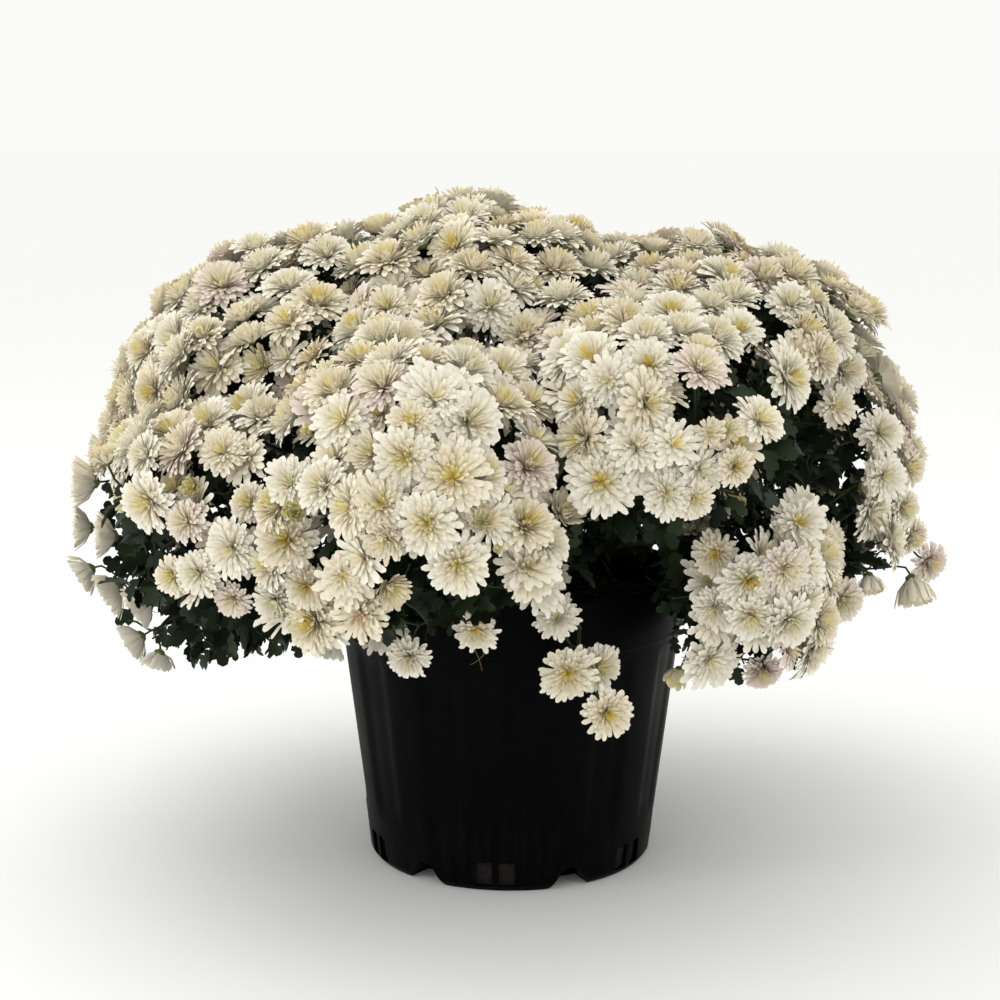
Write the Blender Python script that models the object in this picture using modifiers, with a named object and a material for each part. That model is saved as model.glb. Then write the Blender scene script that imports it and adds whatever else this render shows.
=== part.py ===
"""A potted garden chrysanthemum, a wide dome of bloom in a black nursery pot.

Everything is in metres. The origin is the centre of the pot's underside, +Z is up,
-Y is the front of the plant and +X is to the right of someone who faces that front.
"""

import math
from collections import namedtuple

import bmesh
import bpy
from mathutils import Matrix, Vector, noise

# The pot, a moulded can with a plain band under its rim and panels below
POT_HEIGHT = 0.236
RIM_RADIUS = 0.1425
LIP_HEIGHT = 0.0015
BAND_HEIGHT = 0.044
BAND_FOOT_RADIUS = 0.1402
BODY_TOP_RADIUS = 0.1386
KNEE_HEIGHT = 0.034
KNEE_RADIUS = 0.1188
HEEL_HEIGHT = 0.005
HEEL_RADIUS = 0.1157
FOOT_RADIUS = 0.1118
WALL = 0.0022
FLOOR = 0.0028
POT_SIDES = 60

# The panels are pressed in from the wall, inside and outside alike
PANEL_COUNT = 12
PANEL_TURN = math.radians(-24)
PANEL_HALF_WIDTH = math.radians(7.5)
PANEL_DEPTH = 0.0015
PANEL_FOOT = 0.040
PANEL_TOP = 0.186
PANEL_SLOPE = 0.007

# The drainage: arched notches under the foot, and pairs of slots between them
DRAIN_COUNT = 6
NOTCH_TURN = math.radians(24)
NOTCH_WIDTH = 0.038
NOTCH_TOP_WIDTH = 0.012
NOTCH_HEIGHT = 0.017
NOTCH_INNER_REACH = 0.088
SLOT_TURN = math.radians(-6)
SLOT_WIDTH = 0.013
SLOT_RIB = 0.005
SLOT_FOOT = 0.0045
SLOT_TOP = 0.0245
SLOT_REACH = 0.011

# The potting mix and the woody crown that stands in it
SOIL_LEVEL = 0.205
SOIL_SIDES = 30
STEM_FLARE_RADIUS = 0.0200
STEM_TOE_RADIUS = 0.0160
STEM_TOE_HEIGHT = 0.0033
STEM_NECK_RADIUS = 0.0125
STEM_NECK_HEIGHT = 0.010
KNUCKLE_RADIUS = 0.0190
KNUCKLE_HEIGHT = 0.0270
KNUCKLE_RINGS = (60, 30, 0, -25)
STEM_LEAN = 0.08
STEM_SIDES = 20
FLARE_LOBES = 5
FLARE_LOBE_DEPTH = 0.16

# The boughs
BOUGH_START = 0.0165
BOUGH_FOOT_RADIUS = 0.0036
BOUGH_TIP_RADIUS = 0.0024
BOUGH_POINTS = 7
BOUGH_ENTRY = 0.020
BOUGH_AIM = 0.3
BOUGH_STEPS = 200

# The crown: how far its masses swell and sink, and the open heart that only boughs cross
UNEVENNESS = 0.14
BUMPS_PER_RADIUS = 2.0
HEART_CENTRE = Vector((0.0, 0.0, 0.235))
HEART_RADII = Vector((0.100, 0.100, 0.072))
SAFE_DEPTH = 0.9

# Neighbouring solids stand this far apart
GAP = 0.0003

# Points nearer than this are one point, and edges sharper than this stay crisp
MERGE_DISTANCE = 0.00001
CRISP_ANGLE = math.radians(40)

# A mass of bloom and leaf: its centre and half sizes, its turn about the upright, and the
# azimuth and rise, in degrees, at which its bough leaves the woody crown
Mass = namedtuple("Mass", "name centre radii turn bough")
MASSES = (
    Mass("crown_top", (-0.018, 0.010, 0.372), (0.190, 0.195, 0.165), 0, (-90, 82)),
    Mass("crown_left_shoulder", (-0.155, 0.030, 0.342), (0.176, 0.185, 0.168), 0, (165, 62)),
    Mass("crown_right_dome", (0.138, 0.050, 0.398), (0.186, 0.190, 0.108), 0, (15, 62)),
    Mass("crown_front_left", (-0.065, -0.175, 0.335), (0.132, 0.160, 0.115), -8, (-115, 45)),
    Mass("crown_front_right", (0.108, -0.150, 0.378), (0.115, 0.130, 0.092), 12, (-50, 48)),
    Mass("crown_left_low", (-0.188, -0.120, 0.300), (0.132, 0.132, 0.104), 0, (-145, 28)),
    Mass("crown_left_edge", (-0.248, 0.010, 0.264), (0.108, 0.130, 0.112), 0, None),
    Mass("crown_right_low", (0.178, -0.120, 0.248), (0.072, 0.088, 0.080), 10, (-30, 22)),
    Mass("crown_right_edge", (0.236, 0.035, 0.312), (0.112, 0.130, 0.124), 0, (5, 24)),
    Mass("crown_back_left", (-0.140, 0.165, 0.310), (0.165, 0.175, 0.148), 15, (132, 32)),
    Mass("crown_back_right", (0.140, 0.165, 0.305), (0.170, 0.170, 0.142), -20, (48, 32)),
    Mass("crown_back", (0.000, 0.190, 0.320), (0.150, 0.155, 0.165), 0, (90, 25)),
    Mass("crown_front_spray", (0.052, -0.190, 0.205), (0.044, 0.036, 0.060), 0, (-80, 22)),
)

# Base colour, roughness and metallic value of each finish
FINISHES = {
    "black_plastic": ((0.004, 0.0045, 0.004), 0.42, 0.0),
    "potting_mix": ((0.035, 0.022, 0.013), 0.95, 0.0),
    "woody_stem": ((0.085, 0.060, 0.032), 0.85, 0.0),
    "bloom_and_leaf": ((0.62, 0.56, 0.42), 0.80, 0.0),
}


def clear_scene():
    """Remove the objects that a new file starts with."""
    for leftover in list(bpy.data.objects):
        bpy.data.objects.remove(leftover, do_unlink=True)


def new_collection(name):
    collection = bpy.data.collections.new(name)
    bpy.context.scene.collection.children.link(collection)
    return collection


def finish(name):
    """A Principled material for one of the finishes, made once."""
    material = bpy.data.materials.get(name)
    if material is None:
        colour, roughness, metallic = FINISHES[name]
        material = bpy.data.materials.new(name)
        material.use_nodes = True
        shader = material.node_tree.nodes["Principled BSDF"]
        shader.inputs["Base Color"].default_value = (*colour, 1.0)
        shader.inputs["Roughness"].default_value = roughness
        shader.inputs["Metallic"].default_value = metallic
    return material


def add_object(name, mesh, finish_name):
    """Put a sub-part in the plant's collection with its own material."""
    part = bpy.data.objects.new(name, mesh)
    mesh.materials.append(finish(finish_name))
    PLANT.objects.link(part)
    return part


def add_cutter(name, mesh):
    """Put a cutter in its own collection, drawn as wires."""
    cutter = bpy.data.objects.new(name, mesh)
    cutter.hide_render = True
    cutter.display_type = "WIRE"
    CUTTERS.objects.link(cutter)
    return cutter


def mesh_from(bm, name):
    """Turn a bmesh into a mesh with its faces pointing out."""
    bmesh.ops.recalc_face_normals(bm, faces=bm.faces)
    mesh = bpy.data.meshes.new(name)
    bm.to_mesh(mesh)
    bm.free()
    return mesh


def shade_round(mesh):
    mesh.shade_smooth()
    mesh.set_sharp_from_angle(angle=CRISP_ANGLE)


def cut(part, cutter, operation="DIFFERENCE"):
    """Add a Boolean modifier that takes the cutter out of the part."""
    modifier = part.modifiers.new(f"{operation.lower()} {cutter.name}", "BOOLEAN")
    modifier.operation = operation
    modifier.solver = "EXACT"
    modifier.object = cutter


def evaluated_mesh(source, name):
    """The mesh that an object's modifiers or its curve bevel make."""
    bpy.context.view_layer.update()
    graph = bpy.context.evaluated_depsgraph_get()
    mesh = bpy.data.meshes.new_from_object(source.evaluated_get(graph), depsgraph=graph)
    mesh.name = name
    return mesh


def turned_mesh(name, profile, sides):
    """Turn an upright profile of radius and height about Z."""
    bm = bmesh.new()
    corners = [bm.verts.new((radius, 0.0, height)) for radius, height in profile]
    for start, end in zip(corners, corners[1:]):
        bm.edges.new((start, end))
    outline = bpy.data.meshes.new(name)
    bm.to_mesh(outline)
    bm.free()
    turned = bpy.data.objects.new(name, outline)
    CUTTERS.objects.link(turned)
    screw = turned.modifiers.new("turn", "SCREW")
    screw.axis = "Z"
    screw.steps = sides
    screw.render_steps = sides
    screw.use_merge_vertices = True
    screw.merge_threshold = MERGE_DISTANCE
    mesh = evaluated_mesh(turned, name)
    bpy.data.objects.remove(turned, do_unlink=True)
    return mesh


def pot_radius(height):
    """The pot's outer radius at a height, from the heel to the rim."""
    band_foot = POT_HEIGHT - BAND_HEIGHT
    corners = (
        (0.0, FOOT_RADIUS),
        (HEEL_HEIGHT, HEEL_RADIUS),
        (KNEE_HEIGHT, KNEE_RADIUS),
        (band_foot, BODY_TOP_RADIUS),
        (POT_HEIGHT, RIM_RADIUS),
    )
    for (low, low_radius), (high, high_radius) in zip(corners, corners[1:]):
        if height <= high:
            share = (height - low) / (high - low)
            return low_radius + share * (high_radius - low_radius)
    return RIM_RADIUS


def front_angle(point):
    """The angle about Z from the front, positive to the right."""
    return math.atan2(point.x, -point.y)


def press_panels(mesh):
    """Press the upright panels into the wall."""
    pitch = math.tau / PANEL_COUNT
    for vertex in mesh.vertices:
        height = vertex.co.z
        from_foot = (height - PANEL_FOOT) / PANEL_SLOPE
        from_top = (PANEL_TOP - height) / PANEL_SLOPE
        share = max(0.0, min(1.0, from_foot, from_top))
        offset = (front_angle(vertex.co) - PANEL_TURN + pitch / 2) % pitch - pitch / 2
        if share == 0.0 or abs(offset) > PANEL_HALF_WIDTH:
            continue
        radius = math.hypot(vertex.co.x, vertex.co.y)
        scale = (radius - PANEL_DEPTH * share) / radius
        vertex.co.x *= scale
        vertex.co.y *= scale


def add_tapered_boxes(bm, turn, low, high, width, top_width, inner, outer, side_shift=0.0):
    """Add one box at each drain, narrower at its top, pointing out from the axis."""
    size = Matrix.Diagonal((outer - inner, width, high - low, 1.0))
    centre = Matrix.Translation(((outer + inner) / 2, side_shift, (high + low) / 2))
    for index in range(DRAIN_COUNT):
        box = bmesh.ops.create_cube(bm, size=1.0, matrix=centre @ size)["verts"]
        for vertex in box:
            if vertex.co.z > (low + high) / 2:
                vertex.co.y = side_shift + (vertex.co.y - side_shift) * top_width / width
        angle = turn + index * math.tau / DRAIN_COUNT - math.pi / 2
        bmesh.ops.rotate(bm, cent=(0, 0, 0), matrix=Matrix.Rotation(angle, 3, "Z"), verts=box)


def notch_boxes(name, grow, foot, outer):
    """The arched notches, or with some growth the hoods that roof them inside the pot."""
    bm = bmesh.new()
    add_tapered_boxes(
        bm,
        NOTCH_TURN,
        foot,
        NOTCH_HEIGHT + grow,
        NOTCH_WIDTH + 2 * grow,
        NOTCH_TOP_WIDTH + 2 * grow,
        NOTCH_INNER_REACH - grow,
        outer,
    )
    return mesh_from(bm, name)


def pot_solid_profile(inset, foot, top):
    """The profile of a full plug of the pot's outline, set in from its outer face."""
    heights = [top, POT_HEIGHT - BAND_HEIGHT, KNEE_HEIGHT, HEEL_HEIGHT, foot]
    heights = [height for height in heights if foot <= height <= top]
    wall = [(pot_radius(height) - inset, height) for height in heights]
    return [(0.0, top), *wall, (0.0, foot)]


def make_pot():
    """The nursery pot: a turned wall with panels, hooded notches and drain slots."""
    band_foot = POT_HEIGHT - BAND_HEIGHT
    rows = [
        band_foot,
        PANEL_TOP,
        PANEL_TOP - PANEL_SLOPE,
        PANEL_FOOT + PANEL_SLOPE,
        PANEL_FOOT,
        KNEE_HEIGHT,
        HEEL_HEIGHT,
    ]
    outside = [(pot_radius(height), height) for height in rows]
    inside = [(pot_radius(height) - WALL, height) for height in [*rows, FLOOR]]
    profile = [
        (0.0, FLOOR),
        *reversed(inside),
        (RIM_RADIUS - WALL, POT_HEIGHT),
        (RIM_RADIUS - LIP_HEIGHT / 2, POT_HEIGHT),
        (RIM_RADIUS, POT_HEIGHT - LIP_HEIGHT),
        (BAND_FOOT_RADIUS, band_foot + LIP_HEIGHT / 2),
        *outside,
        (FOOT_RADIUS, 0.0),
        (0.0, 0.0),
    ]
    mesh = turned_mesh("pot", profile, POT_SIDES)
    press_panels(mesh)
    shade_round(mesh)
    pot = add_object("pot", mesh, "black_plastic")

    plug = turned_mesh("wall_plug", pot_solid_profile(WALL / 2, GAP, SOIL_LEVEL), POT_SIDES)
    hoods = add_cutter("drain_hoods", notch_boxes("drain_hoods", WALL, GAP, RIM_RADIUS))
    cut(hoods, add_cutter("wall_plug", plug), "INTERSECT")
    cut(pot, hoods, "UNION")
    cut(pot, add_cutter("drain_notches", notch_boxes("drain_notches", 0.0, -WALL, RIM_RADIUS)))

    bm = bmesh.new()
    shift = (SLOT_WIDTH + SLOT_RIB) / 2
    inner = FOOT_RADIUS - SLOT_REACH
    for side in (-shift, shift):
        add_tapered_boxes(
            bm, SLOT_TURN, SLOT_FOOT, SLOT_TOP, SLOT_WIDTH, SLOT_WIDTH, inner, RIM_RADIUS, side
        )
    cut(pot, add_cutter("drain_slots", mesh_from(bm, "drain_slots")))


def make_potting_mix():
    """The potting mix, which fills the pot to a little under its rim."""
    inset = WALL + PANEL_DEPTH + 2 * GAP
    profile = pot_solid_profile(inset, FLOOR + GAP, SOIL_LEVEL)
    mesh = turned_mesh("potting_mix", profile, SOIL_SIDES)
    soil = add_object("potting_mix", mesh, "potting_mix")
    room = notch_boxes("hood_room", WALL + 2 * GAP, 0.0, RIM_RADIUS)
    cut(soil, add_cutter("hood_room", room))


def knuckle_centre():
    """The middle of the woody crown, where the boughs meet."""
    height = KNUCKLE_HEIGHT
    return Vector((STEM_LEAN * height, 0.0, SOIL_LEVEL + GAP + height))


def make_main_stem(bough_room):
    """The short woody stem: flared foot, neck, and the knuckle that the boughs leave."""
    profile = [(0.0, KNUCKLE_HEIGHT + KNUCKLE_RADIUS)]
    for degrees in KNUCKLE_RINGS:
        rise = math.radians(degrees)
        across = KNUCKLE_RADIUS * math.cos(rise)
        profile.append((across, KNUCKLE_HEIGHT + KNUCKLE_RADIUS * math.sin(rise)))
    profile.append((STEM_NECK_RADIUS, STEM_NECK_HEIGHT))
    profile.append((STEM_TOE_RADIUS, STEM_TOE_HEIGHT))
    profile.append((STEM_FLARE_RADIUS, 0.0))
    profile.append((0.0, 0.0))
    mesh = turned_mesh("main_stem", profile, STEM_SIDES)
    for vertex in mesh.vertices:
        height = vertex.co.z
        spread = max(0.0, 1.0 - height / STEM_NECK_HEIGHT)
        angle = math.atan2(vertex.co.y, vertex.co.x)
        scale = 1.0 + FLARE_LOBE_DEPTH * spread * math.cos(FLARE_LOBES * angle)
        vertex.co.x = vertex.co.x * scale + STEM_LEAN * height
        vertex.co.y *= scale
        vertex.co.z += SOIL_LEVEL + GAP
    shade_round(mesh)
    cut(add_object("main_stem", mesh, "woody_stem"), bough_room)


def unit_place(mass, point):
    """Where a point lies in a mass, with the mass's surface at a length of one."""
    turned = Matrix.Rotation(-math.radians(mass.turn), 3, "Z") @ (point - Vector(mass.centre))
    return Vector(turned[axis] / mass.radii[axis] for axis in range(3))


def reach_towards(mass, direction):
    """How far a mass reaches from its centre in a direction."""
    turned = Matrix.Rotation(-math.radians(mass.turn), 3, "Z") @ direction
    return 1.0 / Vector(turned[axis] / mass.radii[axis] for axis in range(3)).length


def meeting_planes(mass):
    """The planes where a mass meets its neighbours, each as a point and an outward normal."""
    planes = []
    for other in MASSES:
        if other.name == mass.name:
            continue
        between = Vector(other.centre) - Vector(mass.centre)
        apart = between.normalized()
        own = reach_towards(mass, apart)
        theirs = reach_towards(other, -apart)
        if between.length > (own + theirs) * (1.0 + 2 * UNEVENNESS):
            continue
        crossing = (between.length_squared + own**2 - theirs**2) / (2 * between.length)
        planes.append((Vector(mass.centre) + apart * (crossing - GAP / 2), apart))
    return planes


def mass_mesh(mass, seed):
    """An uneven round body, cut flat where it meets its neighbours."""
    bm = bmesh.new()
    bmesh.ops.create_icosphere(bm, subdivisions=3, radius=1.0)
    turn = Matrix.Rotation(math.radians(mass.turn), 3, "Z")
    for vertex in bm.verts:
        outward = vertex.co.normalized()
        bump = noise.noise(outward * BUMPS_PER_RADIUS + Vector((seed, 2 * seed, 3 * seed)))
        place = outward * (1.0 + UNEVENNESS * bump)
        scaled = Vector(place[axis] * mass.radii[axis] for axis in range(3))
        vertex.co = turn @ scaled + Vector(mass.centre)
    for point, normal in meeting_planes(mass):
        everything = [*bm.verts, *bm.edges, *bm.faces]
        halves = bmesh.ops.bisect_plane(
            bm,
            geom=everything,
            dist=MERGE_DISTANCE,
            plane_co=point,
            plane_no=normal,
            clear_outer=True,
        )
        rim = [piece for piece in halves["geom_cut"] if isinstance(piece, bmesh.types.BMEdge)]
        if rim:
            bmesh.ops.edgeloop_fill(bm, edges=rim)
    bmesh.ops.triangulate(bm, faces=bm.faces)
    return mesh_from(bm, mass.name)


def mesh_middle(mesh):
    """The mean of a mesh's corners."""
    total = sum((vertex.co for vertex in mesh.vertices), Vector())
    return total / len(mesh.vertices)


def in_heart(point):
    """Whether a point is in the open heart of the crown."""
    offset = point - HEART_CENTRE
    return Vector(offset[axis] / HEART_RADII[axis] for axis in range(3)).length < 1.0


def well_inside(mass, point):
    """Whether a point is in the solid of a mass, clear of its bumps."""
    if unit_place(mass, point).length > SAFE_DEPTH or in_heart(point):
        return False
    return all((point - plane).dot(normal) < 0 for plane, normal in meeting_planes(mass))


def bough_path(mass, target):
    """The bough's middle line, from the knuckle to a little way inside its mass."""
    azimuth, rise = (math.radians(degrees) for degrees in mass.bough)
    heading = Vector(
        (
            math.cos(azimuth) * math.cos(rise),
            math.sin(azimuth) * math.cos(rise),
            math.sin(rise),
        )
    )
    start = knuckle_centre() + heading * BOUGH_START
    bend = start + heading * (target - start).length / 2
    line = []
    entered = 0.0
    for step in range(BOUGH_STEPS):
        share = step / (BOUGH_STEPS - 1)
        point = start.lerp(bend, share).lerp(bend.lerp(target, share), share)
        if line and well_inside(mass, point):
            entered += (point - line[-1]).length
        line.append(point)
        if entered > BOUGH_ENTRY:
            break
    last = len(line) - 1
    return [line[round(last * number / (BOUGH_POINTS - 1))] for number in range(BOUGH_POINTS)]


def limb_mesh(name, path, grow):
    """A tapering limb with closed ends along a path, grown all over by a clearance."""
    curve = bpy.data.curves.new(name, "CURVE")
    curve.dimensions = "3D"
    curve.bevel_depth = 1.0
    curve.bevel_resolution = 1
    curve.use_fill_caps = True
    spline = curve.splines.new("POLY")
    spline.points.add(len(path) - 1)
    for number, place in enumerate(path):
        share = number / (len(path) - 1)
        radius = BOUGH_FOOT_RADIUS + share * (BOUGH_TIP_RADIUS - BOUGH_FOOT_RADIUS)
        spline.points[number].co = (*place, 1.0)
        spline.points[number].radius = radius + grow
    limb = bpy.data.objects.new(name, curve)
    CUTTERS.objects.link(limb)
    bm = bmesh.new()
    bm.from_mesh(evaluated_mesh(limb, name))
    bmesh.ops.remove_doubles(bm, verts=bm.verts, dist=MERGE_DISTANCE)
    bpy.data.objects.remove(limb, do_unlink=True)
    return mesh_from(bm, name)


def make_boughs(middles):
    """Every bough, and the joined room that the stem and the masses leave for them."""
    room = bmesh.new()
    for mass in MASSES:
        if mass.bough is None:
            continue
        path = bough_path(mass, middles[mass.name] + BOUGH_AIM * Vector((0, 0, mass.radii[2])))
        name = mass.name.replace("crown", "bough")
        mesh = limb_mesh(name, path, 0.0)
        shade_round(mesh)
        add_object(name, mesh, "woody_stem")
        start = path[0] - (path[1] - path[0]).normalized() * GAP
        end = path[-1] + (path[-1] - path[-2]).normalized() * GAP
        room.from_mesh(limb_mesh(name, [start, *path[1:-1], end], GAP))
    return add_cutter("bough_room", mesh_from(room, "bough_room"))


def heart_mesh():
    """The open heart of the crown, where only the boughs run."""
    bm = bmesh.new()
    size = Matrix.Translation(HEART_CENTRE) @ Matrix.Diagonal((*HEART_RADII, 1.0))
    bmesh.ops.create_icosphere(bm, subdivisions=2, radius=1.0, matrix=size)
    return mesh_from(bm, "heart_room")


clear_scene()
PLANT = new_collection("Potted chrysanthemum")
CUTTERS = new_collection("Cutters")

make_pot()
make_potting_mix()
crown = {}
for number, crown_mass in enumerate(MASSES):
    shape = mass_mesh(crown_mass, number + 1)
    crown[crown_mass.name] = add_object(crown_mass.name, shape, "bloom_and_leaf")
bough_room = make_boughs({name: mesh_middle(part.data) for name, part in crown.items()})
make_main_stem(bough_room)

pot_profile = pot_solid_profile(-GAP - PANEL_DEPTH, -POT_HEIGHT / 4, POT_HEIGHT + GAP)
pot_room = add_cutter("pot_room", turned_mesh("pot_room", pot_profile, POT_SIDES))
heart_room = add_cutter("heart_room", heart_mesh())
for part in crown.values():
    for room in (pot_room, heart_room, bough_room):
        cut(part, room)
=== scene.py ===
# %% [markdown]
# # A potted garden chrysanthemum
#
# The plant is a wide, uneven dome of cream-white double blooms over dark lobed leaves, in a
# black moulded nursery pot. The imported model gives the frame: the pot, the boughs and the
# masses of the crown at their real size. This script grows the looks round that frame.
# Lengths are in metres, +Z is up, and the viewer stands on the -Y side.

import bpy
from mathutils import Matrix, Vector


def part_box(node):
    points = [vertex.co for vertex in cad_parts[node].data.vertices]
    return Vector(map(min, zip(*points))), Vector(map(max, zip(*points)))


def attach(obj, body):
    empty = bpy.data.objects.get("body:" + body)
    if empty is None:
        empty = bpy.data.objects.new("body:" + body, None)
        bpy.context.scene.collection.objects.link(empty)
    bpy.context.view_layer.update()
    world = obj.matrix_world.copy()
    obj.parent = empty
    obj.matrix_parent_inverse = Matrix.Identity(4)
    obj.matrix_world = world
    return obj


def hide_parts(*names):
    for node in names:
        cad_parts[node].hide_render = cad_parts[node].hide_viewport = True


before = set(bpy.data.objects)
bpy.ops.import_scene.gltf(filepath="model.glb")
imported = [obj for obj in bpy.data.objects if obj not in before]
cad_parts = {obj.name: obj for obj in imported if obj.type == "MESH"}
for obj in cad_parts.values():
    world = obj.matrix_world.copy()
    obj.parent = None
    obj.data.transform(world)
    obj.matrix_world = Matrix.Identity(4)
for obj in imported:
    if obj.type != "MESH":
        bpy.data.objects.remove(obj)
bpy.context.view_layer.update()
print("nodes:", len(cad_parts))

# %% Import Blender's modules
import math
from collections import namedtuple

import bmesh
import bpy
import numpy as np
from mathutils import Matrix, Vector, noise
from mathutils.bvhtree import BVHTree
from mathutils.kdtree import KDTree

scene = bpy.context.scene

# %% [markdown]
# ## Camera
#
# The photo was taken from a little above the plant with a moderately long lens. The place,
# the tilt and the lens were matched to the rim, the foot and the crown of the plant, so the
# render can be laid over the photo.

# %% Camera
CAMERA_PLACE = Vector((-0.0084, -1.635, 0.577))
CAMERA_TILT_DOWN = math.radians(9.93)
SENSOR_WIDTH_MM = 36.0
LENS_MM = 73.66

camera_data = bpy.data.cameras.new("camera")
camera_data.sensor_width = SENSOR_WIDTH_MM
camera_data.lens = LENS_MM
camera = bpy.data.objects.new("camera", camera_data)
camera.location = CAMERA_PLACE
camera.rotation_euler = (math.pi / 2 - CAMERA_TILT_DOWN, 0.0, 0.0)
scene.collection.objects.link(camera)
scene.camera = camera

# %% [markdown]
# ## Colours and nodes
#
# Colours are written as the hex codes that a colour picker shows, which are sRGB. A shader
# works with linear light, so one function converts them. A second small function adds a node
# with its settings and links, so that each material below reads as a short recipe.

# %% Colour and node helpers
def linear(hex_colour):
    """The linear colour of an sRGB hex code, with full alpha."""
    channels = [int(hex_colour[start:start + 2], 16) / 255 for start in (1, 3, 5)]
    curved = [c / 12.92 if c <= 0.04045 else ((c + 0.055) / 1.055) ** 2.4 for c in channels]
    return (*curved, 1.0)


def add_node(tree, kind, settings=None, links=None):
    """Add a node, set its properties and free sockets, and link sources to its inputs."""
    node = tree.nodes.new(kind)
    for name, value in (settings or {}).items():
        if isinstance(name, int) or name in node.inputs:
            node.inputs[name].default_value = value
        else:
            setattr(node, name, value)
    for name, source in (links or {}).items():
        tree.links.new(source, node.inputs[name])
    return node


def new_material(name, settings):
    """A material with one Principled shader whose plain sockets are set here."""
    material = bpy.data.materials.new(name)
    material.use_nodes = True
    shader = material.node_tree.nodes["Principled BSDF"]
    for socket, value in settings.items():
        shader.inputs[socket].default_value = value
    return material, material.node_tree, shader


# %% [markdown]
# ## Light and floor
#
# The plant was photographed in soft daylight. A pale world lights it from everywhere, a large
# soft box from above and in front gives the petals their form, and a weaker one from the left
# draws the long soft highlight down the side of the pot. The floor is plain and pale.

# %% Light and floor
scene.view_settings.view_transform = "Standard"
WORLD_COLOUR = linear("#fafaf8")
WORLD_STRENGTH = 1.0

world = bpy.data.worlds.new("daylight")
world.use_nodes = True
background = world.node_tree.nodes["Background"]
background.inputs["Color"].default_value = WORLD_COLOUR
background.inputs["Strength"].default_value = WORLD_STRENGTH
scene.world = world

AIM = Vector((0.0, 0.0, 0.30))


def soft_box(name, place, size, watts):
    """A square area light that faces the middle of the plant."""
    light = bpy.data.lights.new(name, "AREA")
    light.shape = "SQUARE"
    light.size = size
    light.energy = watts
    lamp = bpy.data.objects.new(name, light)
    lamp.location = place
    lamp.rotation_mode = "QUATERNION"
    lamp.rotation_quaternion = (Vector(place) - AIM).to_track_quat("Z", "Y")
    scene.collection.objects.link(lamp)


soft_box("key", (-0.4, -2.6, 1.5), 1.6, 2.5)
soft_box("top", (-0.7, 0.2, 2.6), 1.8, 12)
soft_box("side", (-2.4, -0.9, 0.9), 0.9, 8)

FLOOR_HALF_SIZE = 120.0
floor_bm = bmesh.new()
bmesh.ops.create_grid(floor_bm, x_segments=2, y_segments=2, size=FLOOR_HALF_SIZE)
floor_mesh = bpy.data.meshes.new("floor")
floor_bm.to_mesh(floor_mesh)
floor_bm.free()
floor = bpy.data.objects.new("floor", floor_mesh)
floor_paint, _, _ = new_material("matt_floor_paint", {
    "Base Color": linear("#fefefd"),
    "Roughness": 1.0,
    "Specular IOR Level": 0.0,
})
floor_mesh.materials.append(floor_paint)
scene.collection.objects.link(floor)

# %% [markdown]
# ## Small helpers for pieces
#
# Every piece below ends the same way: its mesh goes into an object at the origin, the object
# rides on the one body and takes its materials, and any solids of the frame that it replaces are hidden.

# %% Piece helpers
ROOT = "root"


def mesh_of(bm, name):
    """Turn a bmesh into a mesh."""
    mesh = bpy.data.meshes.new(name)
    bm.to_mesh(mesh)
    bm.free()
    return mesh


def add_piece(name, mesh, materials, replaced=()):
    """Put a finished mesh in the scene as a piece of the object."""
    piece = bpy.data.objects.new(name, mesh)
    for material in materials:
        mesh.materials.append(material)
    scene.collection.objects.link(piece)
    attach(piece, ROOT)
    if replaced:
        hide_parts(*replaced)
    return piece


def triangle_count(mesh):
    mesh.calc_loop_triangles()
    return len(mesh.loop_triangles)


# %% [markdown]
# ## The pot
#
# The pot is a blow-moulded or injection-moulded can: a plain band under the rim, soft upright
# panels pressed into the wall, a bent heel, arched notches under the foot and pairs of drain
# slots. Its outline is a wire of few corners. A vertex bevel rounds those corners, a spin
# turns the wire into the wall, and the panels are pressed in by moving the turned points.

# %% Sizes of the pot
POT_HEIGHT = 0.236
RIM_RADIUS = 0.1425
BAND_HEIGHT = 0.044
BAND_FOOT_RADIUS = 0.1402
BODY_TOP_RADIUS = 0.1386
KNEE_HEIGHT = 0.034
KNEE_RADIUS = 0.1188
HEEL_HEIGHT = 0.005
HEEL_RADIUS = 0.1157
FOOT_RADIUS = 0.1118
POT_WALL = 0.0022
POT_FLOOR = 0.0028
POT_STEPS = 192
CORNER_ROUND = 0.0011

PANEL_COUNT = 12
PANEL_TURN = math.radians(-24)
PANEL_HALF_WIDTH = math.radians(8.2)
PANEL_EDGE = math.radians(3.4)
PANEL_DEPTH = 0.0019
PANEL_FOOT = 0.040
PANEL_TOP = 0.187
PANEL_SLOPE = 0.010

DRAIN_COUNT = 6
NOTCH_TURN = math.radians(24)
NOTCH_WIDTH = 0.038
NOTCH_TOP_WIDTH = 0.012
NOTCH_HEIGHT = 0.017
NOTCH_INNER_REACH = 0.088
NOTCH_ROUND = 0.005
SLOT_TURN = math.radians(-6)
SLOT_WIDTH = 0.013
SLOT_RIB = 0.005
SLOT_FOOT = 0.0045
SLOT_TOP = 0.0245
SLOT_REACH = 0.011


def wall_radius(height):
    """The outer radius of the pot below its band."""
    corners = (
        (0.0, FOOT_RADIUS),
        (HEEL_HEIGHT, HEEL_RADIUS),
        (KNEE_HEIGHT, KNEE_RADIUS),
        (POT_HEIGHT - BAND_HEIGHT, BODY_TOP_RADIUS),
    )
    heights, radii = zip(*corners)
    return float(np.interp(height, heights, radii))


# %% Turn the wall of the pot
def wire_of(bm, points):
    """A wire through points of radius and height, in the XZ plane."""
    corners = [bm.verts.new((radius, 0.0, height)) for radius, height in points]
    return [bm.edges.new(pair) for pair in zip(corners, corners[1:])]


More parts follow.
